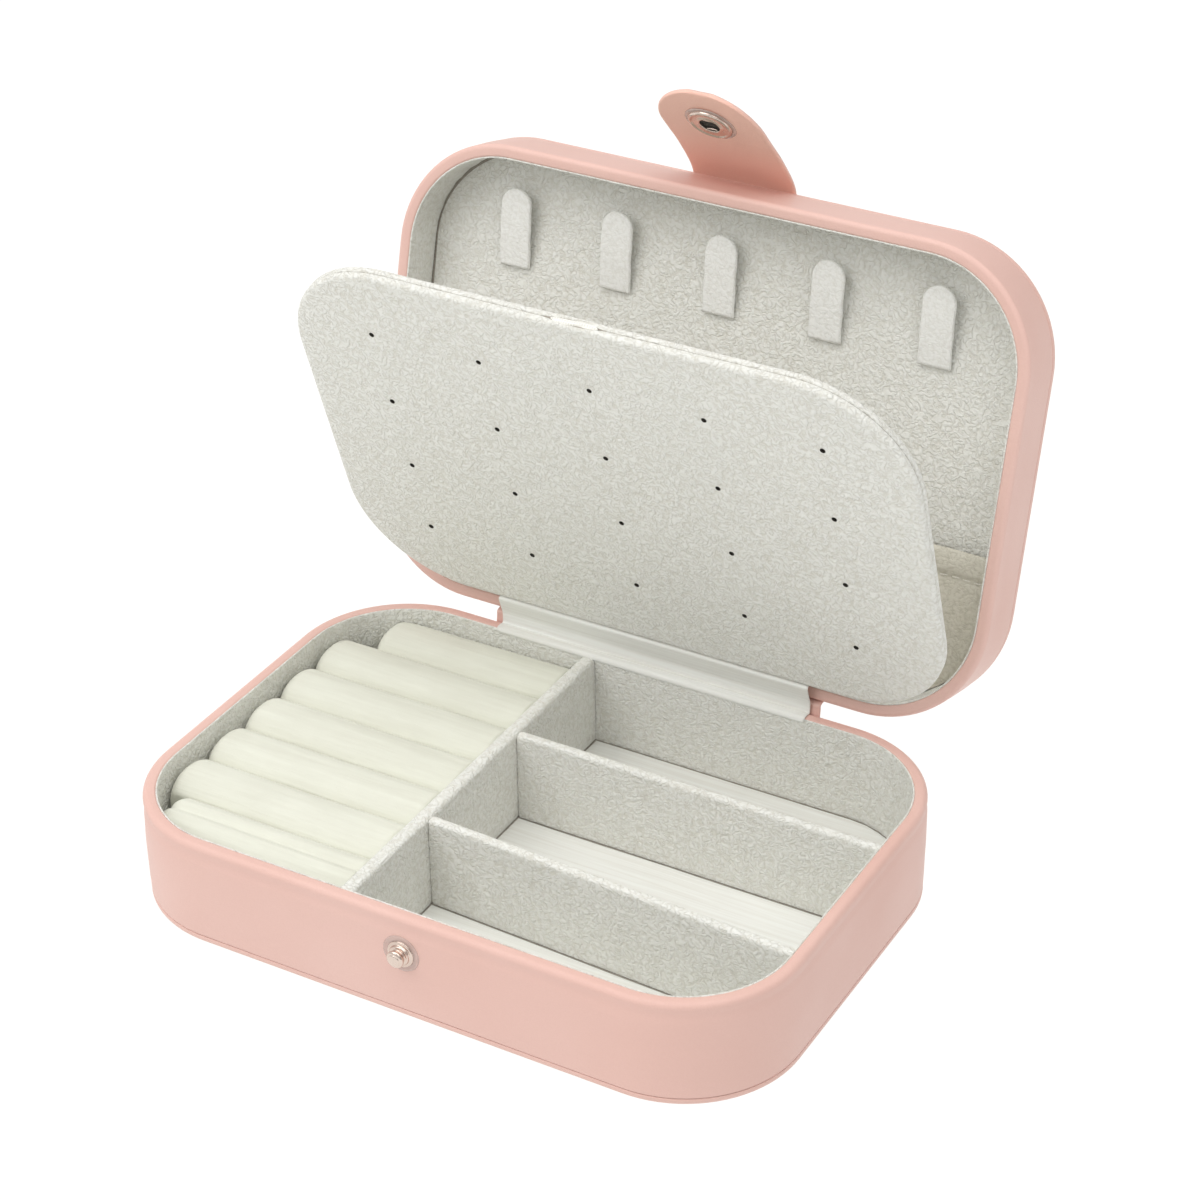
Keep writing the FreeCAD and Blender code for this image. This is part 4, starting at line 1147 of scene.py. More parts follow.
@dataclass
class Dividers(SubAssembly):
    """The three leatherette-covered dividers with their soft folded tops."""

    drop: float = 0.6
    top_round: float = 1.15
    long_x: float = -16.3
    long_end: float = 53.2
    long_gauge: float = 3.6
    cross_left: float = -14.42
    cross_right: float = 78.95
    cross_gauge: float = 2.6
    rear_y: float = 17.25
    front_y: float = -21.45
    front_slope: float = 2.4
    slope_from: float = -14.35
    end_round: float = 0.9
    face_steps: int = 25
    end_steps: int = 7

    def build(self) -> None:
        """Makes each divider along its own line; the front one slopes towards the front."""
        self.divider("divider_long_wrap", (self.long_x, -self.long_end),
                     (self.long_x, self.long_end), self.long_gauge, ["divider_long_cover"], 3)
        self.divider("divider_cross_rear_wrap", (self.cross_left, self.rear_y),
                     (self.cross_right, self.rear_y), self.cross_gauge,
                     ["divider_cross_rear_cover"], 5)
        fall = (self.cross_right - self.slope_from) * math.tan(math.radians(self.front_slope))
        self.divider("divider_cross_front_wrap", (self.cross_left, self.front_y),
                     (self.cross_right, self.front_y - fall), self.cross_gauge,
                     ["divider_cross_front_cover"], 8)
        self.report()

    def divider(self, name: str, start: tuple[float, float], end: tuple[float, float],
                gauge: float, replaced: Sequence[str], seed: int) -> None:
        """Folds leatherette over a card: up one face, over a round top, down the other.

        The profile is two faces that belly by a tenth of a millimetre and a top of a
        superellipse; it runs straight from start to end, and its first end is closed by a
        quarter round so that the fold shows.

        Args:
            name: the piece's name.
            start: first end in plan.
            end: last end in plan.
            gauge: thickness.
            replaced: CAD nodes that it stands for.
            seed: picks the faces' slight waves.
        """
        top = self.case.base_rim - self.drop
        half = gauge / 2
        r = min(self.top_round, half)
        turn = np.radians(np.linspace(0, 180, 21))
        bend = np.sign(np.cos(turn)) * np.abs(np.cos(turn)) ** 0.8
        cap = np.stack([bend * half, top - r + r * np.abs(np.sin(turn)) ** 0.8], 1)
        face_z = np.linspace(self.case.floor - 0.2, top - r, self.face_steps + 1)[:-1]
        right = np.stack([np.full(self.face_steps, half), face_z], 1)
        left = np.stack([np.full(self.face_steps, -half), face_z[::-1]], 1)
        profile = np.concatenate([right, cap, left])
        a = np.array(start)
        b = np.array(end)
        along = (b - a) / np.linalg.norm(b - a)
        side = np.array([along[1], -along[0]])
        length = float(np.linalg.norm(b - a))
        steps = self.end_steps
        quarter = np.linspace(0, math.pi / 2, steps)
        ease = self.end_round * (1 - np.cos(quarter))
        places = np.concatenate([ease, np.linspace(self.end_round, length, 110)[1:]])
        narrow = np.ones_like(places)
        narrow[:steps] = np.sin(np.linspace(0.12, math.pi / 2, steps)) * 0.35 + 0.65
        plan = a + places[:, None] * along
        offset = profile[:, 0][:, None] * narrow[None]
        flat = plan[None] + offset[..., None] * side
        height = np.repeat(profile[:, 1][:, None], len(places), 1)
        sink = np.zeros_like(places)
        sink[:steps] = (1 - np.sin(quarter)) * 0.7
        height -= sink[None] * (np.clip((height - (top - 3)) / 3, 0, 1))
        grid = np.concatenate([flat, height[..., None]], -1)
        sign = np.sign(profile[:, 0])[:, None]
        wave = ripple(grid, 11, seed) * 0.045 + 0.08 * np.sin(
            math.pi * np.clip((height - self.case.floor) / (top - self.case.floor), 0, 1))
        grid[..., :2] += (sign * wave)[..., None] * side
        cap_ring = grid[:, 0]
        middle = cap_ring.mean(0)
        closing = np.stack([cap_ring, cap_ring * 0.5 + middle * 0.5], 1)
        piece = joined(name, [skin(grid, closed=False), skin(closing, flipped=True, closed=False)])
        self.hand_over(piece, self.finishes.lining, Slot.LINING, Body.BASE, replaced)


@dataclass
class RingRolls(SubAssembly):
    """Seven stuffed velvet rolls that press on each other."""

    count: int = 7
    diameter: float = 14.6
    pitch: float = 14.8
    first: float = 45.9
    centre_z: float = 16.9
    right: float = -18.25
    left: float = -78.95
    end_round: float = 4.6
    right_round: float = 2.0
    squeeze: float = 1.16
    wall_gap: float = 0.15
    fold_depth: float = 1.3
    section_power: float = 2.25

    def build(self) -> None:
        """Makes the rolls."""
        for index in range(self.count):
            self.roll(index)
        self.report()

    def corner(self) -> tuple[float, float]:
        """The lined corner's circle, a hair inside the lining.

        Returns:
            Its radius, and how far its middle is from the case's middle along Y.
        """
        r = self.case.radius - self.case.lined - self.wall_gap
        return r, self.case.depth / 2 - self.case.lined - self.wall_gap - r

    def left_end(self, y: float) -> float:
        """Where the tray's lining is at a roll's height line, from the corner's circle.

        Args:
            y: the roll's middle.

        Returns:
            X of the roll's left end.
        """
        r, edge = self.corner()
        over = max(abs(y) + self.diameter * 0.1 - edge, 0.0)
        return self.left + r - math.sqrt(max(r * r - over * over, 0.0))

    def roll(self, index: int) -> None:
        """One roll: a closed tube whose section is a superellipse, wider where rolls touch.

        Along X the section's size follows a quarter superellipse at the left end and a shorter
        one at the right.  The skin is held inside its share of the pitch and inside the tray's
        corner, and then slow waves and short cross puckers by the right end move it.  The last
        roll is pressed in along a shallow lengthwise fold.

        Args:
            index: 0 at the back.
        """
        y0 = self.first - index * self.pitch
        left = self.left_end(y0)
        span = self.right - left
        t = np.linspace(0, 1, 130)
        ease_l = np.clip(t * span / self.end_round, 0, 1)
        ease_r = np.clip((1 - t) * span / self.right_round, 0, 1)
        size = (1 - (1 - ease_l) ** 2.6) ** (1 / 2.6) * (1 - (1 - ease_r) ** 2.2) ** (1 / 2.2)
        angle = np.linspace(0, 2 * math.pi, 72, endpoint=False)
        c = np.cos(angle)
        s = np.sin(angle)
        power = self.section_power
        shape = (np.abs(c) ** power + np.abs(s) ** power) ** (-1 / power)
        half = self.diameter / 2
        radius = half * shape[None] * size[:, None]
        radius = np.minimum(radius, half * 1.03)
        x = left + t[:, None] * span * np.ones_like(angle)[None]
        y = y0 + radius * self.squeeze * c[None]
        z = self.centre_z + radius * s[None]
        y = y0 + np.clip(y - y0, -self.pitch / 2 + 0.04, self.pitch / 2 - 0.04)
        corner, edge = self.corner()
        aside = np.clip(self.left + corner - x, 0, corner)
        wall = edge + np.sqrt(np.maximum(corner**2 - aside**2, 0)) - self.wall_gap
        y = np.clip(y, -wall, wall)
        grid = np.stack([x, y, z], -1)
        inward = np.stack([np.zeros_like(x), c[None] * np.ones_like(x), s[None] * np.ones_like(x)],
                          -1)
        wave = ripple(grid * [0.35, 1, 1], 9, 60 + index) * 0.10
        pucker = 0.12 * np.exp(-((1 - t) * span / 5.0))[:, None] * np.sin(angle * 19 + index)[None]
        grid += inward * ((wave + pucker) * size[:, None])[..., None]
        if index == self.count - 1:
            fold = np.exp(-((grid[..., 1] - y0 - 0.6) / 1.1) ** 2) * np.clip(s, 0, 1)[None]
            grid[..., 2] -= self.fold_depth * fold * size[:, None]
        name = "velvet_roll_%d" % (index + 1)
        piece = joined(name, [skin(grid)])
        self.hand_over(piece, self.finishes.velvet, Slot.VELVET, Body.BASE,
                       ["ring_roll_%d" % (index + 1)])


@dataclass
class PressStud(SubAssembly):
    """The stud on the front wall with its clear washer."""

    drop: float = 9.6

    def build(self) -> None:
        """Makes the washer and the stepped stud."""
        place = np.array([0.0, -self.case.depth / 2, self.case.base_rim - self.drop])
        front = np.array([0.0, -1.0, 0.0])
        washer = np.array([[1.1, 0.02], [4.1, 0.02], [4.6, 0.04], [4.6, 0.2], [4.45, 0.33],
                           [4.2, 0.35], [1.1, 0.35]])
        piece = lathe("stud_clear_washer", washer, place, front)
        self.hand_over(piece, self.finishes.clear, Slot.CLEAR, Body.BASE, ["snap_stud_washer"])
        steps = np.array([
            [0.0, 0.35], [3.0, 0.35], [3.25, 0.42], [3.3, 0.52], [3.2, 0.66], [2.9, 0.74],
            [2.62, 0.8], [2.5, 0.98], [2.42, 1.2], [2.28, 1.34], [1.98, 1.42], [1.8, 1.52],
            [1.72, 1.72], [1.74, 1.94], [1.86, 2.14], [2.04, 2.3], [2.12, 2.5], [2.12, 2.68],
            [2.04, 2.86], [1.86, 3.04], [1.6, 3.16], [1.48, 3.2], [1.42, 3.3], [1.2, 3.42],
            [0.8, 3.52], [0.4, 3.55], [0.0, 3.55],
        ])
        piece = lathe("stud_post", smooth_path(steps, 120), place, front, 96)
        self.hand_over(piece, self.finishes.metal, Slot.METAL, Body.BASE, ["snap_stud"])
        self.report()


# ---------------------------------------------------------------------------------------------
# Lid
# ---------------------------------------------------------------------------------------------


@dataclass
class LidShell(SubAssembly):
    """The lid's leather, its padded top, the lining round its wall and the panel inside."""

    panel: float = 39.6
    groove: float = 2.6
    crown: float = 0.9
    rim_round: float = 1.25
    top_round: float = 1.7
    pucker: float = 0.14
    pucker_waves: float = 30.0
    lining_steps: int = 16
    slit_half: float = 4.6
    slit_spread: float = 0.9
    slit_dip: float = 0.25

    def build(self) -> None:
        """Makes the lid's four skins."""
        self.wall_wrap()
        self.padded_top()
        self.wall_lining()
        self.panel_skin()
        self.report()

    def wall_wrap(self) -> None:
        """The lid wall's leather, drawn shut: a round rim, a wall and a tuck at the top panel."""
        rim = self.case.lid_rim
        r = self.rim_round
        inner = arc_profile((self.case.wall - 0.5, rim + 0.55), 0.5, 0.5, 0, -90, 7)
        outer = arc_profile((r, rim + r * 0.9), -r, -r * 0.9, 90, 0, 12)
        top = self.case.lid_top - self.groove
        wall_z = np.linspace(rim + r * 0.9 + 0.3, top - 0.6, 20)
        belly = -0.1 * np.sin(np.linspace(0, math.pi, 20))
        wall = np.stack([belly, wall_z], 1)
        tuck = arc_profile((0.3, top - 0.55), -0.3, 0.5, 0, 88, 7)
        profile = np.concatenate([inner, outer, wall, tuck])
        grid = self.case.outline().at(profile[:, 0], profile[:, 1])
        grid[..., :2] *= 1 + (ripple(grid * [1, 1, 4], 32, 21) * 0.0004)[..., None]
        grid = self.case.lid(grid)
        piece = joined("lid_wall_wrap", [skin(grid)])
        self.hand_over(piece, self.finishes.leather, Slot.LEATHER, Body.LID, ["lid_wall_leather"])

    def padded_top(self) -> None:
        """The foam-backed top: a round edge over the groove, then a low crown.

        Height over the middle is crown * (1 - q^2)^1.5, where q is the ring's share from the
        middle to the edge, with slow waves of a tenth of a millimetre.
        """
        top = self.case.lid_top
        r = self.top_round
        lip = arc_profile((0.3, top - self.groove + 0.55), -0.3, -0.5, 88, 0, 7)
        edge = arc_profile((r, top - r), -r, r, 0, 90, 14)
        profile = np.concatenate([[[1.3, top - self.groove + 0.03]], lip, edge])
        side = self.case.outline().at(profile[:, 0], profile[:, 1])
        inner = RoundedOutline(self.case.width - 2 * r, self.case.depth - 2 * r,
                               self.case.radius - r)
        q = 1 - np.linspace(0, 1, 34) ** 1.5
        face = inner.shrunk(q, top)
        face[..., 2] += self.crown * (1 - q[:, None] ** 2) ** 1.5
        face[..., 2] += ripple(face, 40, 27) * 0.08 * (1 - q[:, None] ** 4)
        piece = joined("lid_padded_top", [skin(self.case.lid(side)), skin(self.case.lid(face))])
        self.hand_over(piece, self.finishes.leather, Slot.LEATHER, Body.LID, ["lid_top_leather"])

    def wall_lining(self) -> None:
        """The lining round the lid's inner wall, with a soft edge at the rim."""
        rim = self.case.lid_rim
        lip = arc_profile((3.18, rim + 0.38), 0.22, -0.25, 180, 0, 9)
        levels = np.linspace(rim + 0.6, self.panel + 0.1, self.lining_steps)
        up = np.stack([np.full(self.lining_steps, self.case.lined), levels], 1)
        profile = np.concatenate([lip, up])
        outline = self.case.outline()
        normals = outline.rails()[1]
        grid = outline.at(profile[:, 0], profile[:, 1])
        corner = (np.abs(normals[:, 0] * normals[:, 1]) * 2)[None]
        angle = np.arctan2(normals[:, 1], normals[:, 0])[None]
        pucker = corner * self.pucker * np.sin(angle * self.pucker_waves + grid[..., 2] * 0.3)
        fade = np.clip((grid[..., 2] - rim - 0.5) / 2.0, 0, 1)
        grid[..., :2] -= normals[None] * (pucker * fade)[..., None]
        piece = joined("lid_wall_lining_skin", [skin(self.case.lid(grid), flipped=True)])
        self.hand_over(piece, self.finishes.lining, Slot.LINING, Body.LID, ["lid_wall_lining"])

    def panel_skin(self) -> None:
        """The panel inside the lid: pulled flat in the middle, rolled down at its edge.

        Under each necklace hook the skin dips by a few tenths along the slit's line.
        """
        inset = self.case.lined + 0.1
        inner = RoundedOutline(self.case.width - 2 * inset, self.case.depth - 2 * inset,
                               self.case.radius - inset)
        q = 1 - np.linspace(0, 1, 110)
        face = inner.shrunk(q, self.panel)
        from_edge = (1 - q[:, None]) * 50
        face[..., 2] += 0.5 * np.exp(-from_edge / 0.7) + ripple(face, 24, 33) * 0.06
        for index in range(self.case.hooks):
            x = self.case.hook_x(index)
            near = np.exp(-((face[..., 0] - x) / self.slit_half) ** 6) * np.exp(
                -((face[..., 1] - self.case.hook_root_y) / self.slit_spread) ** 2)
            face[..., 2] += self.slit_dip * near
        piece = joined("lid_panel_skin", [skin(self.case.lid(face), flipped=True)])
        self.hand_over(piece, self.finishes.lining, Slot.LINING, Body.LID, ["lid_panel_lining"])


@dataclass
class NecklaceHooks(SubAssembly):
    """Five covered card tongues that stand off the panel."""

    width: float = 8.4
    length: float = 19.8
    gauge: float = 1.15
    root_z: float = 38.85
    lean: float = 8.0

    def build(self) -> None:
        """Makes the tongues, each with its own slight curl."""
        for index in range(self.case.hooks):
            self.tongue(index)
        self.report()

    def tongue(self, index: int) -> None:
        """One tongue: a strip with a half-round tip, curled a little, with rounded edges.

        Its half width at a distance v from the tip is sqrt(r^2 - (r - v)^2) inside the tip's
        radius r.  The middle line rises as lean * v plus a slow curl.

        Args:
            index: 0 on the left.
        """
        r = self.width / 2
        v = np.concatenate([np.linspace(0, r, 18) ** 1.4 / r**0.4, np.linspace(r, self.length, 34)[1:]])
        half = np.where(v < r, np.sqrt(np.maximum(r * r - (r - v) ** 2, 0.0025)), r)
        half = half * (1 + 0.012 * np.sin(v * 0.9 + index))
        u = np.linspace(-1, 1, 26)
        u = np.sign(u) * np.abs(u) ** 0.75
        x = u[:, None] * half[None]
        y = -(self.length - v)[None] * np.ones_like(x)
        curl = 0.35 + 0.12 * math.sin(index * 2.1)
        rise = -curl * np.sin(math.pi * (self.length - v) / self.length)[None]
        z = rise + 0.10 * (x / r) ** 2
        sheet = np.stack([x, y, z], -1)
        normal = np.zeros_like(sheet)
        normal[..., 2] = 1.0
        turn = math.radians(self.lean)
        for vectors in (sheet, normal):
            y, z = vectors[..., 1].copy(), vectors[..., 2].copy()
            vectors[..., 1] = y * math.cos(turn) - z * math.sin(turn)
            vectors[..., 2] = y * math.sin(turn) + z * math.cos(turn)
        sheet += np.array([self.case.hook_x(index), self.case.hook_root_y, self.root_z])
        sheet = self.case.lid(sheet)
        normal = self.case.lid_direction(normal)
        piece = slab("hook_tongue_%d" % (index + 1), sheet[::-1], normal[::-1], self.gauge, 0.5)
        self.hand_over(piece, self.finishes.hook_lining, Slot.LINING, "hook_%d" % (index + 1),
                       ["necklace_hook_%d" % (index + 1)])


@dataclass
class LidPocket(SubAssembly):
    """The gathered pocket with its elastic hem and a row of stitches."""

    mouth: float = 14.75
    hem: float = 6.0
    level: float = 36.85
    half: float = 78.9
    run: float = 38.3
    gathers: int = 13
    gather_half: float = 79.0
    gather_height: float = 0.42
    swell: float = 0.8
    stitch_span: float = 76.5
    stitch_pitch: float = 2.9
    stitch_length: float = 2.0
    stitch_radius: float = 0.17

    def build(self) -> None:
        """Makes the pocket's cloth and its stitches."""
        piece = self.cloth()
        # The cloth takes the darker pocket lining: painted shade.
        self.hand_over(piece, self.finishes.pocket_lining_painted_shade, Slot.LINING, Body.LID, ["pocket_front"])
        self.stitches()
        self.report()

    def reach(self, y: Array) -> Array:
        """Half width of the lid's inside, from the corner's circle.

        Args:
            y: places along the lid's depth.

        Returns:
            The half width at each place.
        """
        r = self.case.radius - self.case.lined - 0.1
        edge = self.case.depth / 2 - self.case.lined - 0.1 - r
        over = np.maximum(np.abs(y) - edge, 0)
        return self.half - r + np.sqrt(np.maximum(r * r - over * over, 0.0))

    def folds(self, x: Array, depth: Array) -> Array:
        """Height of the gathers: short waves at the hem that fade towards the lid's back edge.

        Args:
            x: place across, in millimetres.
            depth: distance from the mouth.

        Returns:
            Height off the sheet.
        """
        phase = x / self.gather_half * math.pi * self.gathers
        uneven = 0.7 + 0.3 * np.sin(x * 0.11) + 0.2 * np.sin(x * 0.043 + 1)
        fade = np.exp(-np.maximum(depth - 8, 0) / 13.0) * 0.8 + 0.2
        fade = fade * (0.35 + 0.65 * np.clip((depth - 4.0) / 3.0, 0, 1))
        swell = 0.5 * np.sin(math.pi * np.clip(depth / 38.0, 0, 1))
        return self.gather_height * uneven * np.sin(phase + 0.8 * np.sin(x * 0.2)) * fade + swell

    def cloth(self) -> bpy.types.Object:
        """Two sheets, from the mouth's hem to the back of the lid, that meet at every border.

        Returns:
            The cloth.
        """
        v = np.concatenate([np.linspace(0, 1.2, 7), np.linspace(1.2, self.hem, 9)[1:],
                            np.linspace(self.hem, self.run, 34)[1:]])
        u = np.linspace(-1, 1, 420)
        y = self.mouth + v[:, None] * np.ones_like(u)[None]
        x = u[None] * self.reach(y)
        depth = v[:, None] * np.ones_like(u)[None]
        bulge = self.swell * np.sqrt(np.clip(1 - ((depth - self.hem / 2) / (self.hem / 2)) ** 2, 0, 1))
        bulge = np.where(depth < self.hem, bulge, 0.0)
        groove = -0.22 * np.exp(-((depth - self.hem + 0.3) / 0.45) ** 2)
        height = self.folds(x, depth) + bulge + groove
        side_fade = np.clip((1 - np.abs(u))[None] * self.gather_half / 2.0, 0, 1)
        front = np.stack([x, y, self.level - height * side_fade], -1)
        closing = np.minimum(side_fade * np.ones_like(x), np.clip((self.run - depth) / 0.6, 0, 1))
        gap = (0.5 + 1.9 * bulge + 0.4 * self.folds(x, depth) * side_fade) * closing
        back = front + np.stack([0 * x, 0 * x, gap], -1)
        front = self.case.lid(front)
        back = self.case.lid(back)
        lip = np.stack([front[0], (front[0] + back[0]) / 2, back[0]], 0)
        return joined("pocket_cloth", [skin(front, flipped=True, closed=False),
                                       skin(back, closed=False), skin(lip, closed=False)])

    def stitches(self) -> None:
        """A row of short threads along the hem, each a thin flattened bead."""
        starts = np.arange(-self.stitch_span, self.stitch_span, self.stitch_pitch)
        rings = 9
        sides = 8
        t = np.linspace(0, 1, rings)
        angle = np.linspace(0, 2 * math.pi, sides, endpoint=False)
        size = self.stitch_radius * np.sqrt(np.clip(1 - (2 * t - 1) ** 6, 0.02, 1))
        x = starts[:, None, None] + t[None, :, None] * self.stitch_length + 0 * angle[None, None]
        y = self.mouth + self.hem + 0.3 + size[None, :, None] * np.cos(angle)[None, None] + 0 * x
        depth = np.full_like(x, self.hem + 0.3)
        rise = self.folds(x, depth) - 0.04
        lift = 0.14 * np.sin(math.pi * t)[None, :, None]
        z = self.level - rise - lift - size[None, :, None] * np.sin(angle)[None, None]
        beads = self.case.lid(np.stack([x, y, z], -1))
        one = grid_faces(rings, sides, close_columns=True)[:, ::-1]
        firsts = np.arange(len(starts)) * rings * sides
        faces = (one[None] + firsts[:, None, None]).reshape(-1, 4)
        piece = add_mesh("pocket_stitches", beads.reshape(-1, 3), faces)
        self.hand_over(piece, self.finishes.thread, Slot.ELASTIC, Body.LID)


@dataclass
class SpineAndStrip(SubAssembly):
    """The leather spine outside the hinge and the cream strip inside it."""

    def build(self) -> None:
        """Makes both bands; each spans two bodies and rides on neither."""
        self.leather_spine()
        self.cream_strip()
        self.report()

    def band(self, name: str, path: Array, half: float, gauge: float, corner: float
             ) -> bpy.types.Object:
        """A band of leather that follows a path in Y and Z, the same all along X.

        Args:
            name: the piece's name.
            path: (y, z) of its middle surface, from one edge to the other.
            half: half its width along X.
            gauge: thickness.
            corner: how far its ends are drawn in at the first and last rows.

        Returns:
            The piece.
        """
        across = 140
        u = np.linspace(-1, 1, across)
        u = np.sign(u) * (1 - (1 - np.abs(u)) ** 1.3)
        t = np.linspace(0, 1, len(path))
        draw = corner * (np.exp(-t * 14) + np.exp(-(1 - t) * 14))
        x = u[None] * (half - draw)[:, None]
        sheet = np.stack([x, np.repeat(path[:, :1], across, 1),
                          np.repeat(path[:, 1:], across, 1)], -1)
        return slab(name, sheet, surface_normals(sheet), gauge, 0.35)

    def leather_spine(self) -> None:
        """From the base's rear wall over the gap to the lid's rear wall."""
        back = self.case.depth / 2 + 0.3
        base = np.array([[back, 17.4], [back, 20.0], [back, 23.0], [back, 26.0]])
        lid_shut = np.array([[0, back, 30.2], [0, back, 32.5], [0, back, 35.0], [0, back, 37.8]])
        lid_open = self.case.lid(lid_shut)[:, 1:]
        middle = np.array([[back + 0.25, 28.2], [back + 0.42, 29.4]])
        path = smooth_path(np.concatenate([base, middle, lid_open]), 70)
        piece = self.band("spine_leather_wrap", path, self.case.spine_half, 0.62, 0.5)
        self.hand_over(piece, self.finishes.leather, Slot.LEATHER, None,
                       ["spine_leather_base", "spine_leather_lid"])
        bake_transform(piece)

    def cream_strip(self) -> None:
        """From the tray's rear lining over the rim and up the flap's bottom edge."""
        under_lid = self.case.lid_rim - 0.23
        flap_low = self.case.flap(np.array([
            [0, 56.5, under_lid], [0, 54.6, under_lid], [0, 52.6, under_lid],
            [0, 51.6, under_lid + 0.02], [0, 51.15, under_lid + 0.3],
            [0, 51.1, under_lid + 1.0], [0, 51.1, under_lid + 1.9]]))[:, 1:]
        rim = self.case.base_rim
        base = np.array([[53.2, rim - 1.0], [53.24, rim - 0.3], [53.7, rim + 0.14],
                         [55.0, rim + 0.22], [56.2, rim + 0.22]])
        path = smooth_path(np.concatenate([base, flap_low]), 90)
        piece = self.band("hinge_strip_cloth", path, self.case.strip_half, 0.3, 0.4)
        self.hand_over(piece, self.finishes.streaked, Slot.LINING, None,
                       ["flap_hinge_strip", "spine_lining_base"])
        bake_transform(piece)


# ---------------------------------------------------------------------------------------------
# Flap
# ---------------------------------------------------------------------------------------------


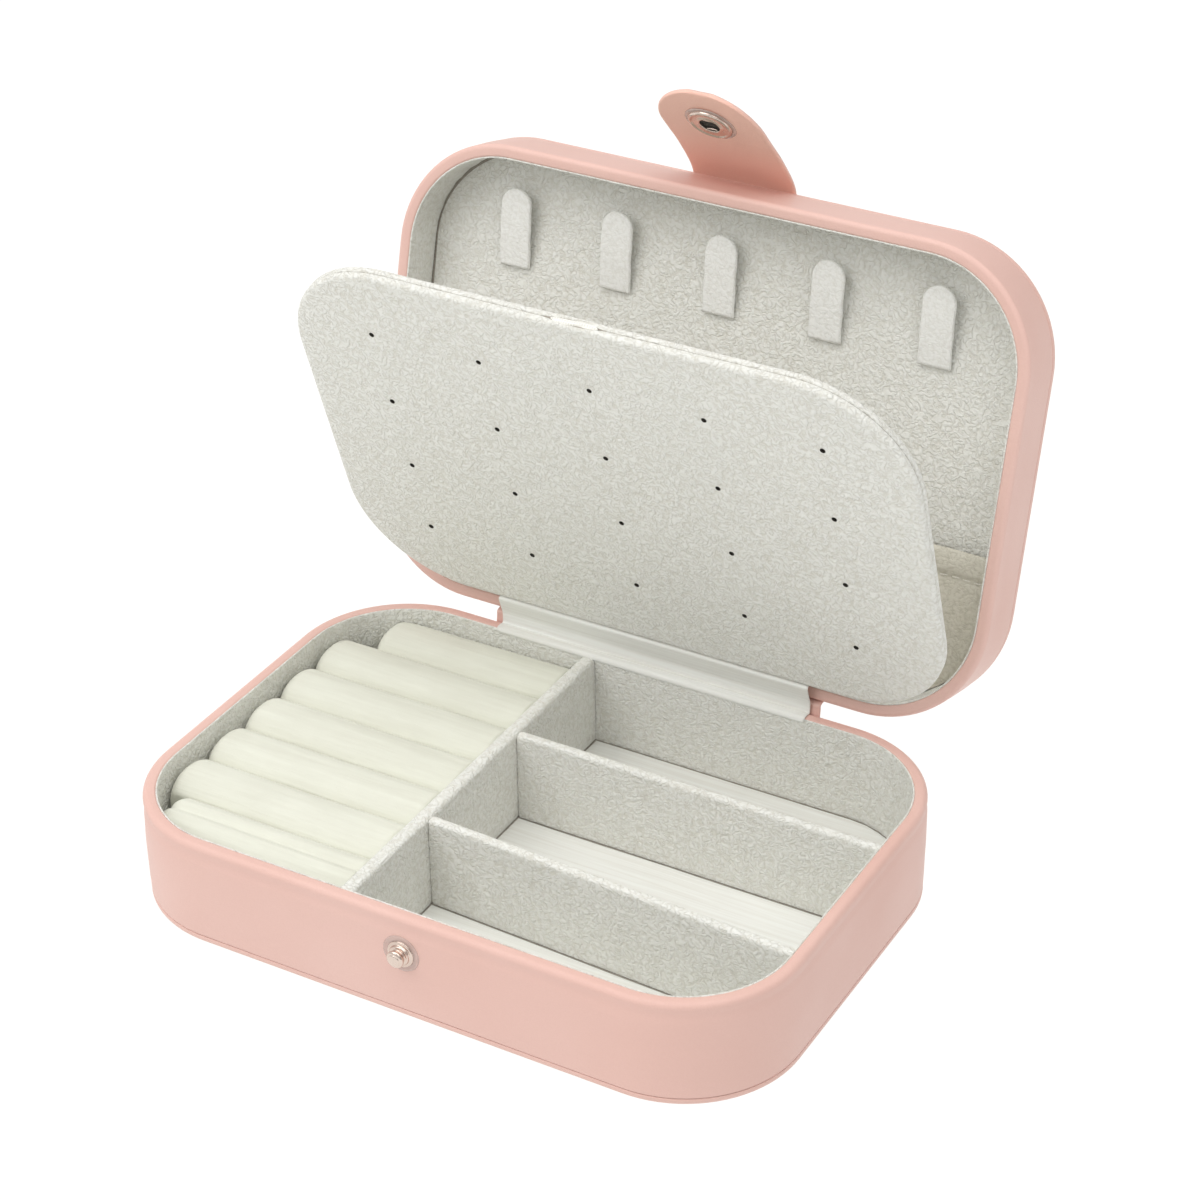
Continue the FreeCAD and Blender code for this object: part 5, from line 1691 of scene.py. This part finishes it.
@dataclass
class EarringFlap(SubAssembly):
    """Two covered boards back to back, with pin holes, and the pull ribbon between them."""

    width: float = 157.4
    low_y: float = 50.6
    free_y: float = -52.6
    radius: float = 27.5
    face_z: float = 28.2
    gauge: float = 3.8
    hole: float = 1.3
    hole_sides: int = 16
    collar: float = 1.5
    pitch_x: float = 28.5
    pitch_y: float = 21.6
    grid_drop: float = 0.5
    field_step: float = 1.9
    edge: float = 1.15
    ribbon_x: float = -1.0
    ribbon_half: float = 6.0

    def build(self) -> None:
        """Makes both faces, the hole walls and the ribbon."""
        self.face("flap_front_skin", 1, ["flap_front_cover"])
        self.face("flap_rear_skin", -1, ["flap_rear_cover"])
        self.hole_walls()
        self.ribbon()
        self.report()

    def middle(self) -> float:
        """The flap's middle along Y when shut."""
        return (self.low_y + self.free_y) / 2

    def holes(self) -> Array:
        """Middles of the pin holes: four rows of five.

        Returns:
            Places in plan, shape (20, 2).
        """
        x = (np.arange(5) - 2) * self.pitch_x
        y = self.middle() - self.grid_drop + (np.arange(4) - 1.5) * self.pitch_y
        return np.stack(np.meshgrid(x, y), -1).reshape(-1, 2)

    def rings(self, radius: float) -> Array:
        """A ring of points round every hole.

        Args:
            radius: the rings' radius.

        Returns:
            Places in plan, shape (20, hole_sides, 2).
        """
        angle = np.arange(self.hole_sides) * 2 * math.pi / self.hole_sides
        ring = np.stack([np.cos(angle), np.sin(angle)], -1)
        return self.holes()[:, None] + radius * ring[None]

    def outline(self) -> RoundedOutline:
        """The flap's own edge."""
        return RoundedOutline(self.width, self.low_y - self.free_y, self.radius, self.middle(),
                              24, 60)

    def height(self, plan: Array) -> Array:
        """How far the skin lies under the face plane: dimples at the holes and slow waves.

        Args:
            plan: places, shape (n, 2).

        Returns:
            Depths in millimetres, shape (n,).
        """
        away = np.linalg.norm(plan[:, None] - self.holes()[None], axis=-1).min(1)
        dimple = 0.22 * np.exp(-((away - self.hole / 2) / 0.75) ** 2)
        spread = np.concatenate([plan, np.zeros((len(plan), 1))], 1)
        return dimple + 0.05 * ripple(spread, 26, 44)

    def face(self, name: str, side: int, replaced: Sequence[str]) -> None:
        """One cover: a flat with true holes, and an edge that rolls to the seam between boards.

        The flat is a constrained triangulation of the inner outline, a 1.9 mm field of points
        and two sixteen-sided rings round every hole.  The edge swells round the board and runs
        back into the seam.

        Args:
            name: the piece's name.
            side: 1 for the face towards the tray when open, -1 for the other.
            replaced: CAD nodes that it stands for.
        """
        outline = self.outline()
        half = self.gauge / 2
        middle_z = self.face_z + half
        rim = outline.at(np.array([self.edge]), np.array([0.0]))[0][:, :2]
        rings = self.rings(self.hole / 2)
        collars = self.rings(self.collar)
        field_x, field_y = np.meshgrid(np.arange(-78, 78.1, self.field_step),
                                       np.arange(-54, 52, self.field_step))
        points = np.stack([field_x, field_y], -1).reshape(-1, 2) + [0.13, 0.07]
        away = np.linalg.norm(points[:, None] - self.holes()[None], axis=-1).min(1)
        centre = np.array([0.0, outline.middle])
        straight = np.array([outline.width, outline.depth]) / 2 - outline.radius
        reach = np.abs(points - centre) - straight
        inset = outline.radius - np.linalg.norm(np.maximum(reach, 0), axis=1)
        keep = (inset > self.edge + 0.9) & (away > 2.4)
        plan = np.concatenate([rim, rings.reshape(-1, 2), collars.reshape(-1, 2), points[keep]])
        count = len(rim)
        sides = self.hole_sides
        loops = [(i, (i + 1) % count) for i in range(count)]
        corners = [list(range(count))]
        for first in range(count, count + rings.shape[0] * sides, sides):
            loops += [(first + i, first + (i + 1) % sides) for i in range(sides)]
            corners.append(list(range(first + sides - 1, first - 1, -1)))
        found = delaunay_2d_cdt([Vector(p) for p in plan], loops, corners, 2, 1e-6)
        flat = np.array([tuple(v) for v in found[0]])
        cells = np.array(found[2])
        in_hole = np.linalg.norm(flat[cells].mean(1)[:, None] - self.holes()[None],
                                 axis=-1).min(1) < self.hole / 2 * 0.96
        cells = cells[~in_hole]
        ahead = flat[cells[:, 1]] - flat[cells[:, 0]]
        aside = flat[cells[:, 2]] - flat[cells[:, 0]]
        turn = ahead[:, 0] * aside[:, 1] - ahead[:, 1] * aside[:, 0]
        cells[turn * side > 0] = cells[turn * side > 0][:, ::-1]
        flat_skin = np.column_stack([flat, middle_z - side * (half - self.height(flat))])
        knots = np.array([(self.edge, 0.0), (0.55, 0.05), (0.06, 0.28), (-0.22, 0.66),
                          (-0.32, 1.1), (-0.27, 1.5), (-0.03, half - 0.05)])
        steps = 15
        profile = smooth_path(knots, steps)
        t = np.linspace(0, 1, steps)
        depth = self.height(rim)[None] * (1 - t)[:, None] ** 2
        level = middle_z - side * (half - profile[:, 1][:, None] * self.parted(rim)[None] - depth)
        roll = outline.at(np.repeat(profile[:, :1], count, 1), level)
        tuck = outline.at(np.full((1, count), 0.3), np.full((1, count), middle_z - side * 0.02))
        border = np.concatenate([roll, tuck])
        piece = joined(name, [(self.case.flap(flat_skin), cells),
                              skin(self.case.flap(border), flipped=side < 0)], weld=0.008)
        self.hand_over(piece, self.finishes.lining, Slot.LINING, Body.FLAP, replaced)

    def parted(self, plan: Array) -> Array:
        """How much of its height the edge keeps: less where the ribbon parts the seam.

        Args:
            plan: places, shape (n, 2).

        Returns:
            Shares of 0 to 1, shape (n,).
        """
        lens = np.clip(1 - ((plan[:, 0] - self.ribbon_x) / (self.ribbon_half + 1.5)) ** 2, 0, 1)
        return 1 - 0.5 * lens * (plan[:, 1] < self.middle())

    def hole_walls(self) -> None:
        """The walls of all pin holes, from face to face, as one grid of short tubes."""
        levels = np.array([0.2, 1.2, 1.9, 2.6, 3.6]) + self.face_z
        rings = self.rings(self.hole / 2)[:, None]
        grid = np.stack(np.broadcast_arrays(rings[..., 0], rings[..., 1], levels[None, :, None]), -1)
        grid = self.case.flap(grid)
        one = grid_faces(len(levels), self.hole_sides, close_columns=True)[:, ::-1]
        firsts = np.arange(grid.shape[0]) * len(levels) * self.hole_sides
        faces = (one[None] + firsts[:, None, None]).reshape(-1, 4)
        piece = add_mesh("flap_hole_walls", grid.reshape(-1, 3), faces)
        # Painted shade: the hole walls take the near-black hole finish instead of grey board.
        self.hand_over(piece, self.finishes.dark, Slot.BOARD, Body.FLAP)

    def ribbon(self) -> None:
        """The pull ribbon: a short flattened loop of satin that fills the parted seam."""
        u = np.linspace(-1, 1, 60)
        angle = np.linspace(0, 2 * math.pi, 24, endpoint=False)
        bow = np.sqrt(np.clip(1 - u**2, 0, 1))
        middle = self.free_y + 0.16 + 0.08 * np.cos(u * 4)
        centre = np.stack([u * self.ribbon_half + self.ribbon_x, middle,
                           self.face_z + self.gauge / 2 + 0.16 * np.sin(u * 3.4)], -1)
        across = 0.66 * bow[:, None] * np.cos(angle)[None]
        rise = (0.86 * bow[:, None] + 0.04) * np.sin(angle)[None]
        fold = 0.1 * np.sin(angle * 3 + u[:, None] * 5) * bow[:, None]
        grid = centre[:, None] + np.stack([0 * across, across + fold, rise + fold], -1)
        piece = joined("pull_ribbon_loop", [skin(self.case.flap(grid))])
        self.hand_over(piece, self.finishes.ribbon, Slot.RIBBON, Body.FLAP, ["flap_pull_ribbon"])


# ---------------------------------------------------------------------------------------------
# Clasp tab
# ---------------------------------------------------------------------------------------------


@dataclass
class ClaspTab(SubAssembly):
    """The leather tab, its socket, the cap outside it and the clear washer under it."""

    width: float = 27.0
    gauge: float = 1.15
    snap_along: float = 26.9
    root: float = 57.4
    bend: tuple[tuple[float, float], tuple[float, float]] = ((-56.9, 44.1), (-59.8, 41.6))
    wire_half: float = 1.3
    wire_offset: float = 2.0
    wire_bow: float = 0.18
    wire_radius: float = 0.22

    def build(self) -> None:
        """Makes the strap first; the snap sits square to its curve."""
        path, slope = self.path()
        self.strap(path, slope)
        self.snap(path, slope)
        self.report()

    def path(self) -> tuple[Array, Array]:
        """The strap's middle line (y, z) in the shut lid, and its unit direction.

        It leaves the glued seam level, bends down and curves back out to the tip.

        Returns:
            Points and directions, each of shape (n, 2).
        """
        knots = np.array([(-54.5, 44.25), (-56.5, 44.2), (-58.6, 42.75), (-60.9, 40.4),
                          (-64.1, 36.5), (-67.1, 32.3), (-69.9, 27.9), (-72.8, 23.5),
                          (-76.0, 19.3), (-79.4, 15.5), (-81.0, 14.0)])
        line = smooth_path(knots, 240)
        step = np.linalg.norm(np.diff(line, axis=0), axis=1)
        length = np.concatenate([[0], step.cumsum()])
        even = np.linspace(0, length[-1], 110)
        line = np.stack([np.interp(even, length, line[:, k]) for k in range(2)], 1)
        slope = np.gradient(line, axis=0)
        return line, slope / np.linalg.norm(slope, axis=1, keepdims=True)

    def length(self, path: Array) -> Array:
        """Distance along the path from the tab's root by the lid's front face.

        Args:
            path: the strap's middle line.

        Returns:
            One distance for each point.
        """
        steps = np.linalg.norm(np.diff(path, axis=0), axis=1)
        along = np.concatenate([[0], steps.cumsum()])
        start = np.interp(self.root, -path[:, 0], along)
        return along - start

    def strap(self, path: Array, slope: Array) -> None:
        """The strap: straight sides, then a tip of a half superellipse; edges are pared round.

        Args:
            path: its middle line.
            slope: the line's direction.
        """
        v = self.length(path)
        r = self.width / 2
        left = np.clip((v[-1] - v) / r, 0, 1)
        half = r * (1 - (1 - left) ** 2.15) ** (1 / 2.15)
        half = np.maximum(half, 0.03)
        u = np.linspace(-1, 1, 61)
        u = np.sign(u) * (1 - (1 - np.abs(u)) ** 1.35)
        x = u[:, None] * half[None]
        outward = np.stack([slope[:, 1], -slope[:, 0]], 1)
        cup = 0.35 * (x / r) ** 2 * np.clip(v / 10, 0, 1)[None]
        y = path[:, 0][None] - outward[:, 0][None] * cup
        z = path[:, 1][None] - outward[:, 1][None] * cup
        sheet = self.case.lid(np.stack([x, y, z], -1))
        normal = surface_normals(sheet)
        piece = slab("clasp_tab_strap", sheet, normal, self.gauge, 0.6)
        self.hand_over(piece, self.finishes.tab_painted_bounce_leather, Slot.LEATHER, None,
                       ["clasp_tab_inner_ply", "clasp_tab_outer_ply"])
        # Faces that look away from the outside keep the first material, the brighter and warmer copy:
        # painted bounce light on the strap's inner face.
        piece.data.materials.append(self.finishes.leather)
        facing = np.empty(len(piece.data.polygons) * 3)
        piece.data.polygons.foreach_get("normal", facing)
        outside = self.case.lid_direction(np.array([0.0, -0.6, 0.8]))
        piece.data.polygons.foreach_set(
            "material_index", (facing.reshape(-1, 3) @ outside > 0).astype(np.int32))
        ends = self.case.lid(np.array([[0, *place] for place in self.bend])) * MM
        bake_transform(piece)

    def snap(self, path: Array, slope: Array) -> None:
        """Socket and washer on the inner face, cap on the outer one.

        Args:
            path: the strap's middle line.
            slope: the line's direction.
        """
        v = self.length(path)
        place = np.array([np.interp(self.snap_along, v, path[:, k]) for k in range(2)])
        run = np.array([np.interp(self.snap_along, v, slope[:, k]) for k in range(2)])
        inward = np.array([0.0, -run[1], run[0]])
        spot = self.case.lid(np.array([0.0, *place]))
        axis = self.case.lid_direction(inward)
        if axis @ (self.case.lid(np.zeros(3)) - spot) < 0:
            axis = -axis
        face = self.gauge / 2
        washer = np.array([[3.3, 0.0], [6.0, 0.0], [6.3, 0.05], [6.3, 0.18], [6.15, 0.28],
                           [5.9, 0.3], [3.3, 0.3]])
        piece = lathe("socket_clear_washer", washer, spot + axis * (face - 0.02), axis)
        self.hand_over(piece, self.finishes.clear, Slot.CLEAR, Body.TAB, ["snap_socket_washer"])
        ring = np.array([
            [5.1, -0.02], [5.36, 0.1], [5.42, 0.34], [5.36, 0.62], [5.16, 0.84], [4.9, 0.92],
            [4.66, 0.86], [4.4, 0.74], [3.9, 0.7], [3.4, 0.72], [3.0, 0.78], [2.74, 0.84],
            [2.56, 0.8], [2.48, 0.72], [2.46, 0.62],
        ])
        piece = lathe("socket_ring", smooth_path(ring, 130), spot + axis * face, axis, 96)
        self.hand_over(piece, self.finishes.metal, Slot.METAL, Body.TAB, ["snap_socket"])
        # The well is a near-black cup in the socket's mouth: painted shade for the dark hole.
        well = np.array([[2.46, 0.66], [2.42, 0.3], [2.3, 0.14], [1.2, 0.12], [0.0, 0.12]])
        piece = lathe("socket_well", smooth_path(well, 24), spot + axis * face, axis, 64)
        self.hand_over(piece, self.finishes.dark, Slot.METAL, Body.TAB)
        wires = self.spring_wires(spot + axis * (face + 0.42), axis)
        self.hand_over(wires, self.finishes.metal, Slot.METAL, Body.TAB)
        dome = np.array([[5.2, -0.12], [5.7, -0.05], [5.8, 0.12], [5.66, 0.42], [5.2, 0.72],
                         [4.2, 0.98], [2.8, 1.14], [1.4, 1.2], [0.0, 1.22]])
        piece = lathe("snap_dome", smooth_path(dome, 70), spot - axis * face, -axis, 96)
        self.hand_over(piece, self.finishes.metal, Slot.METAL, Body.TAB, ["snap_cap"])

    def spring_wires(self, place: Array, axis: Array) -> bpy.types.Object:
        """The two bowed wires of the socket's spring, across its mouth.

        Each wire is a short tube along a shallow arc that stands off the middle on its own side
        and bows inwards.

        Args:
            place: the mouth's middle.
            axis: the socket's axis.

        Returns:
            Both wires as one piece.
        """
        t = np.linspace(-1, 1, 17)
        angle = np.linspace(0, 2 * math.pi, 10, endpoint=False)
        turn = np.array(Vector((0, 0, 1)).rotation_difference(Vector(axis)).to_matrix())
        grids = []
        for sign in (-1.0, 1.0):
            along = t * self.wire_half
            off = sign * (self.wire_offset - self.wire_bow * (1 - t**2))
            x = along[:, None] + 0 * angle[None]
            y = off[:, None] + self.wire_radius * np.cos(angle)[None]
            z = self.wire_radius * np.sin(angle)[None] + 0 * x
            grids.append(skin(np.stack([x, y, z], -1) @ turn.T + place))
        return joined("socket_spring", grids)


# ---------------------------------------------------------------------------------------------
# Frame pieces, stage and camera
# ---------------------------------------------------------------------------------------------


@dataclass
class FramePieces:
    """The CAD nodes: each gets its slot's finish, shown or not."""

    finishes: Finishes
    nodes: dict[str, bpy.types.Object]
    record: dict

    def dress(self) -> None:
        """Puts each node's finish on its material slots."""
        for entry in self.record["subparts"]:
            finish = self.finishes.by_slot[Slot(entry["material_slot"])]
            node = self.nodes[entry["node"]]
            for slot in node.material_slots:
                slot.material = finish
            if not node.material_slots:
                node.data.materials.append(finish)
            log.info("FramePieces: %s", entry["node"])


@dataclass
class Studio:
    """Floor, lights and the camera."""

    azimuth: float = 29.94
    elevation: float = 31.69
    roll: float = -0.69
    lens: float = 94.06
    floor_radius: float = 9000.0
    floor_level: float = -0.02
    floor_glow: float = 0.98
    world_lean: tuple[float, float, float] = (-0.26, -0.1, 0.3)
    world_low: float = 0.26
    world_high: float = 0.86
    aim: tuple[float, float, float] = (0.0, 0.02, 0.05)
    place: tuple[float, float, float] = (306.2, -500.5, 438.5)

    def build(self) -> None:
        """Sets the stage."""
        self.floor()
        self.lights()
        self.camera()

    def floor(self) -> None:
        """A flat round floor, a hair under the case, with a pale glow of its own."""
        r = np.linspace(0, 1, 24)[:, None] ** 1.6 * self.floor_radius
        angle = np.linspace(0, 2 * math.pi, 64, endpoint=False)[None]
        grid = np.stack([r * np.cos(angle), r * np.sin(angle), self.floor_level + 0 * (r * angle)],
                        -1)
        made = joined("studio_floor", [skin(grid)])
        g = Graph("studio_floor")
        tone = g.remap(g.noise(2.0, 2.0), 0.3, 0.7)
        colour = g.mix(tone, linear(84, 84, 82), linear(78, 78, 76))
        made.data.materials.append(g.finish(
            colour, 0.9, None, Emission_Color=(1.0, 1.0, 0.985, 1.0), Emission_Strength=self.floor_glow,
            Specular_IOR_Level=0.1))

    def lights(self) -> None:
        """Three soft lamps, and a world that is brighter above and to the left."""
        world = bpy.data.worlds.new("studio")
        bpy.context.scene.world = world
        world.use_nodes = True
        tree = world.node_tree
        background = tree.nodes["Background"]
        way = tree.nodes.new("ShaderNodeTexCoord").outputs["Generated"]
        lean = tree.nodes.new("ShaderNodeVectorMath")
        lean.operation = "DOT_PRODUCT"
        lean.inputs[1].default_value = self.world_lean
        tree.links.new(way, lean.inputs[0])
        level = tree.nodes.new("ShaderNodeMapRange")
        for name, number in (("From Min", -0.3), ("From Max", 0.45),
                             ("To Min", self.world_low), ("To Max", self.world_high)):
            level.inputs[name].default_value = number
        tree.links.new(lean.outputs["Value"], level.inputs["Value"])
        tree.links.new(level.outputs[0], background.inputs["Strength"])
        background.inputs["Color"].default_value = (1.0, 1.0, 0.99, 1.0)
        for name, place, size, power in (
            ("key", (-0.5, -0.7, 1.1), 0.9, 5.4),
            ("fill", (0.62, -0.3, 1.2), 1.0, 3.4),
            ("top", (0.1, 0.05, 1.3), 1.1, 3.6),
        ):
            light = bpy.data.lights.new(name, "AREA")
            light.size = size
            light.energy = power
            light.color = (1.0, 0.985, 0.965)
            lamp = bpy.data.objects.new(name, light)
            lamp.location = place
            aim = Vector(self.aim) - Vector(place)
            lamp.rotation_euler = aim.to_track_quat("-Z", "Y").to_euler()
            bpy.context.scene.collection.objects.link(lamp)

    def camera(self) -> None:
        """A long lens, from the front right and above."""
        a = math.radians(self.azimuth)
        e = math.radians(self.elevation)
        r = math.radians(self.roll)
        back = Vector((math.sin(a) * math.cos(e), -math.cos(a) * math.cos(e), math.sin(e)))
        right = Vector((math.cos(a), math.sin(a), 0.0))
        up = back.cross(right)
        turned_right = right * math.cos(r) + up * math.sin(r)
        turned_up = up * math.cos(r) - right * math.sin(r)
        data = bpy.data.cameras.new("camera")
        data.lens = self.lens
        data.sensor_width = 36.0
        data.clip_start = 0.01
        data.clip_end = 20.0
        camera = bpy.data.objects.new("camera", data)
        matrix = Matrix((turned_right, turned_up, back)).transposed().to_4x4()
        matrix.translation = Vector(self.place) * MM
        camera.matrix_world = matrix
        bpy.context.scene.collection.objects.link(camera)
        bpy.context.scene.camera = camera


def main() -> None:
    """Loads the frame and builds the case on it, one sub-assembly after another."""
    logging.basicConfig(level=logging.INFO, format="%(message)s")
    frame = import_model()
    bpy.context.scene.view_settings.view_transform = "Standard"
    finishes = Finishes()
    case = CaseSizes()
    FramePieces(finishes, frame["nodes"], frame["record"]).dress()
    for part in (BaseShell, TrayFloors, Dividers, RingRolls, PressStud, LidShell, NecklaceHooks,
                 LidPocket, SpineAndStrip, EarringFlap, ClaspTab):
        part(case, finishes).build()
    Studio().build()


if __name__ == "__main__":
    main()
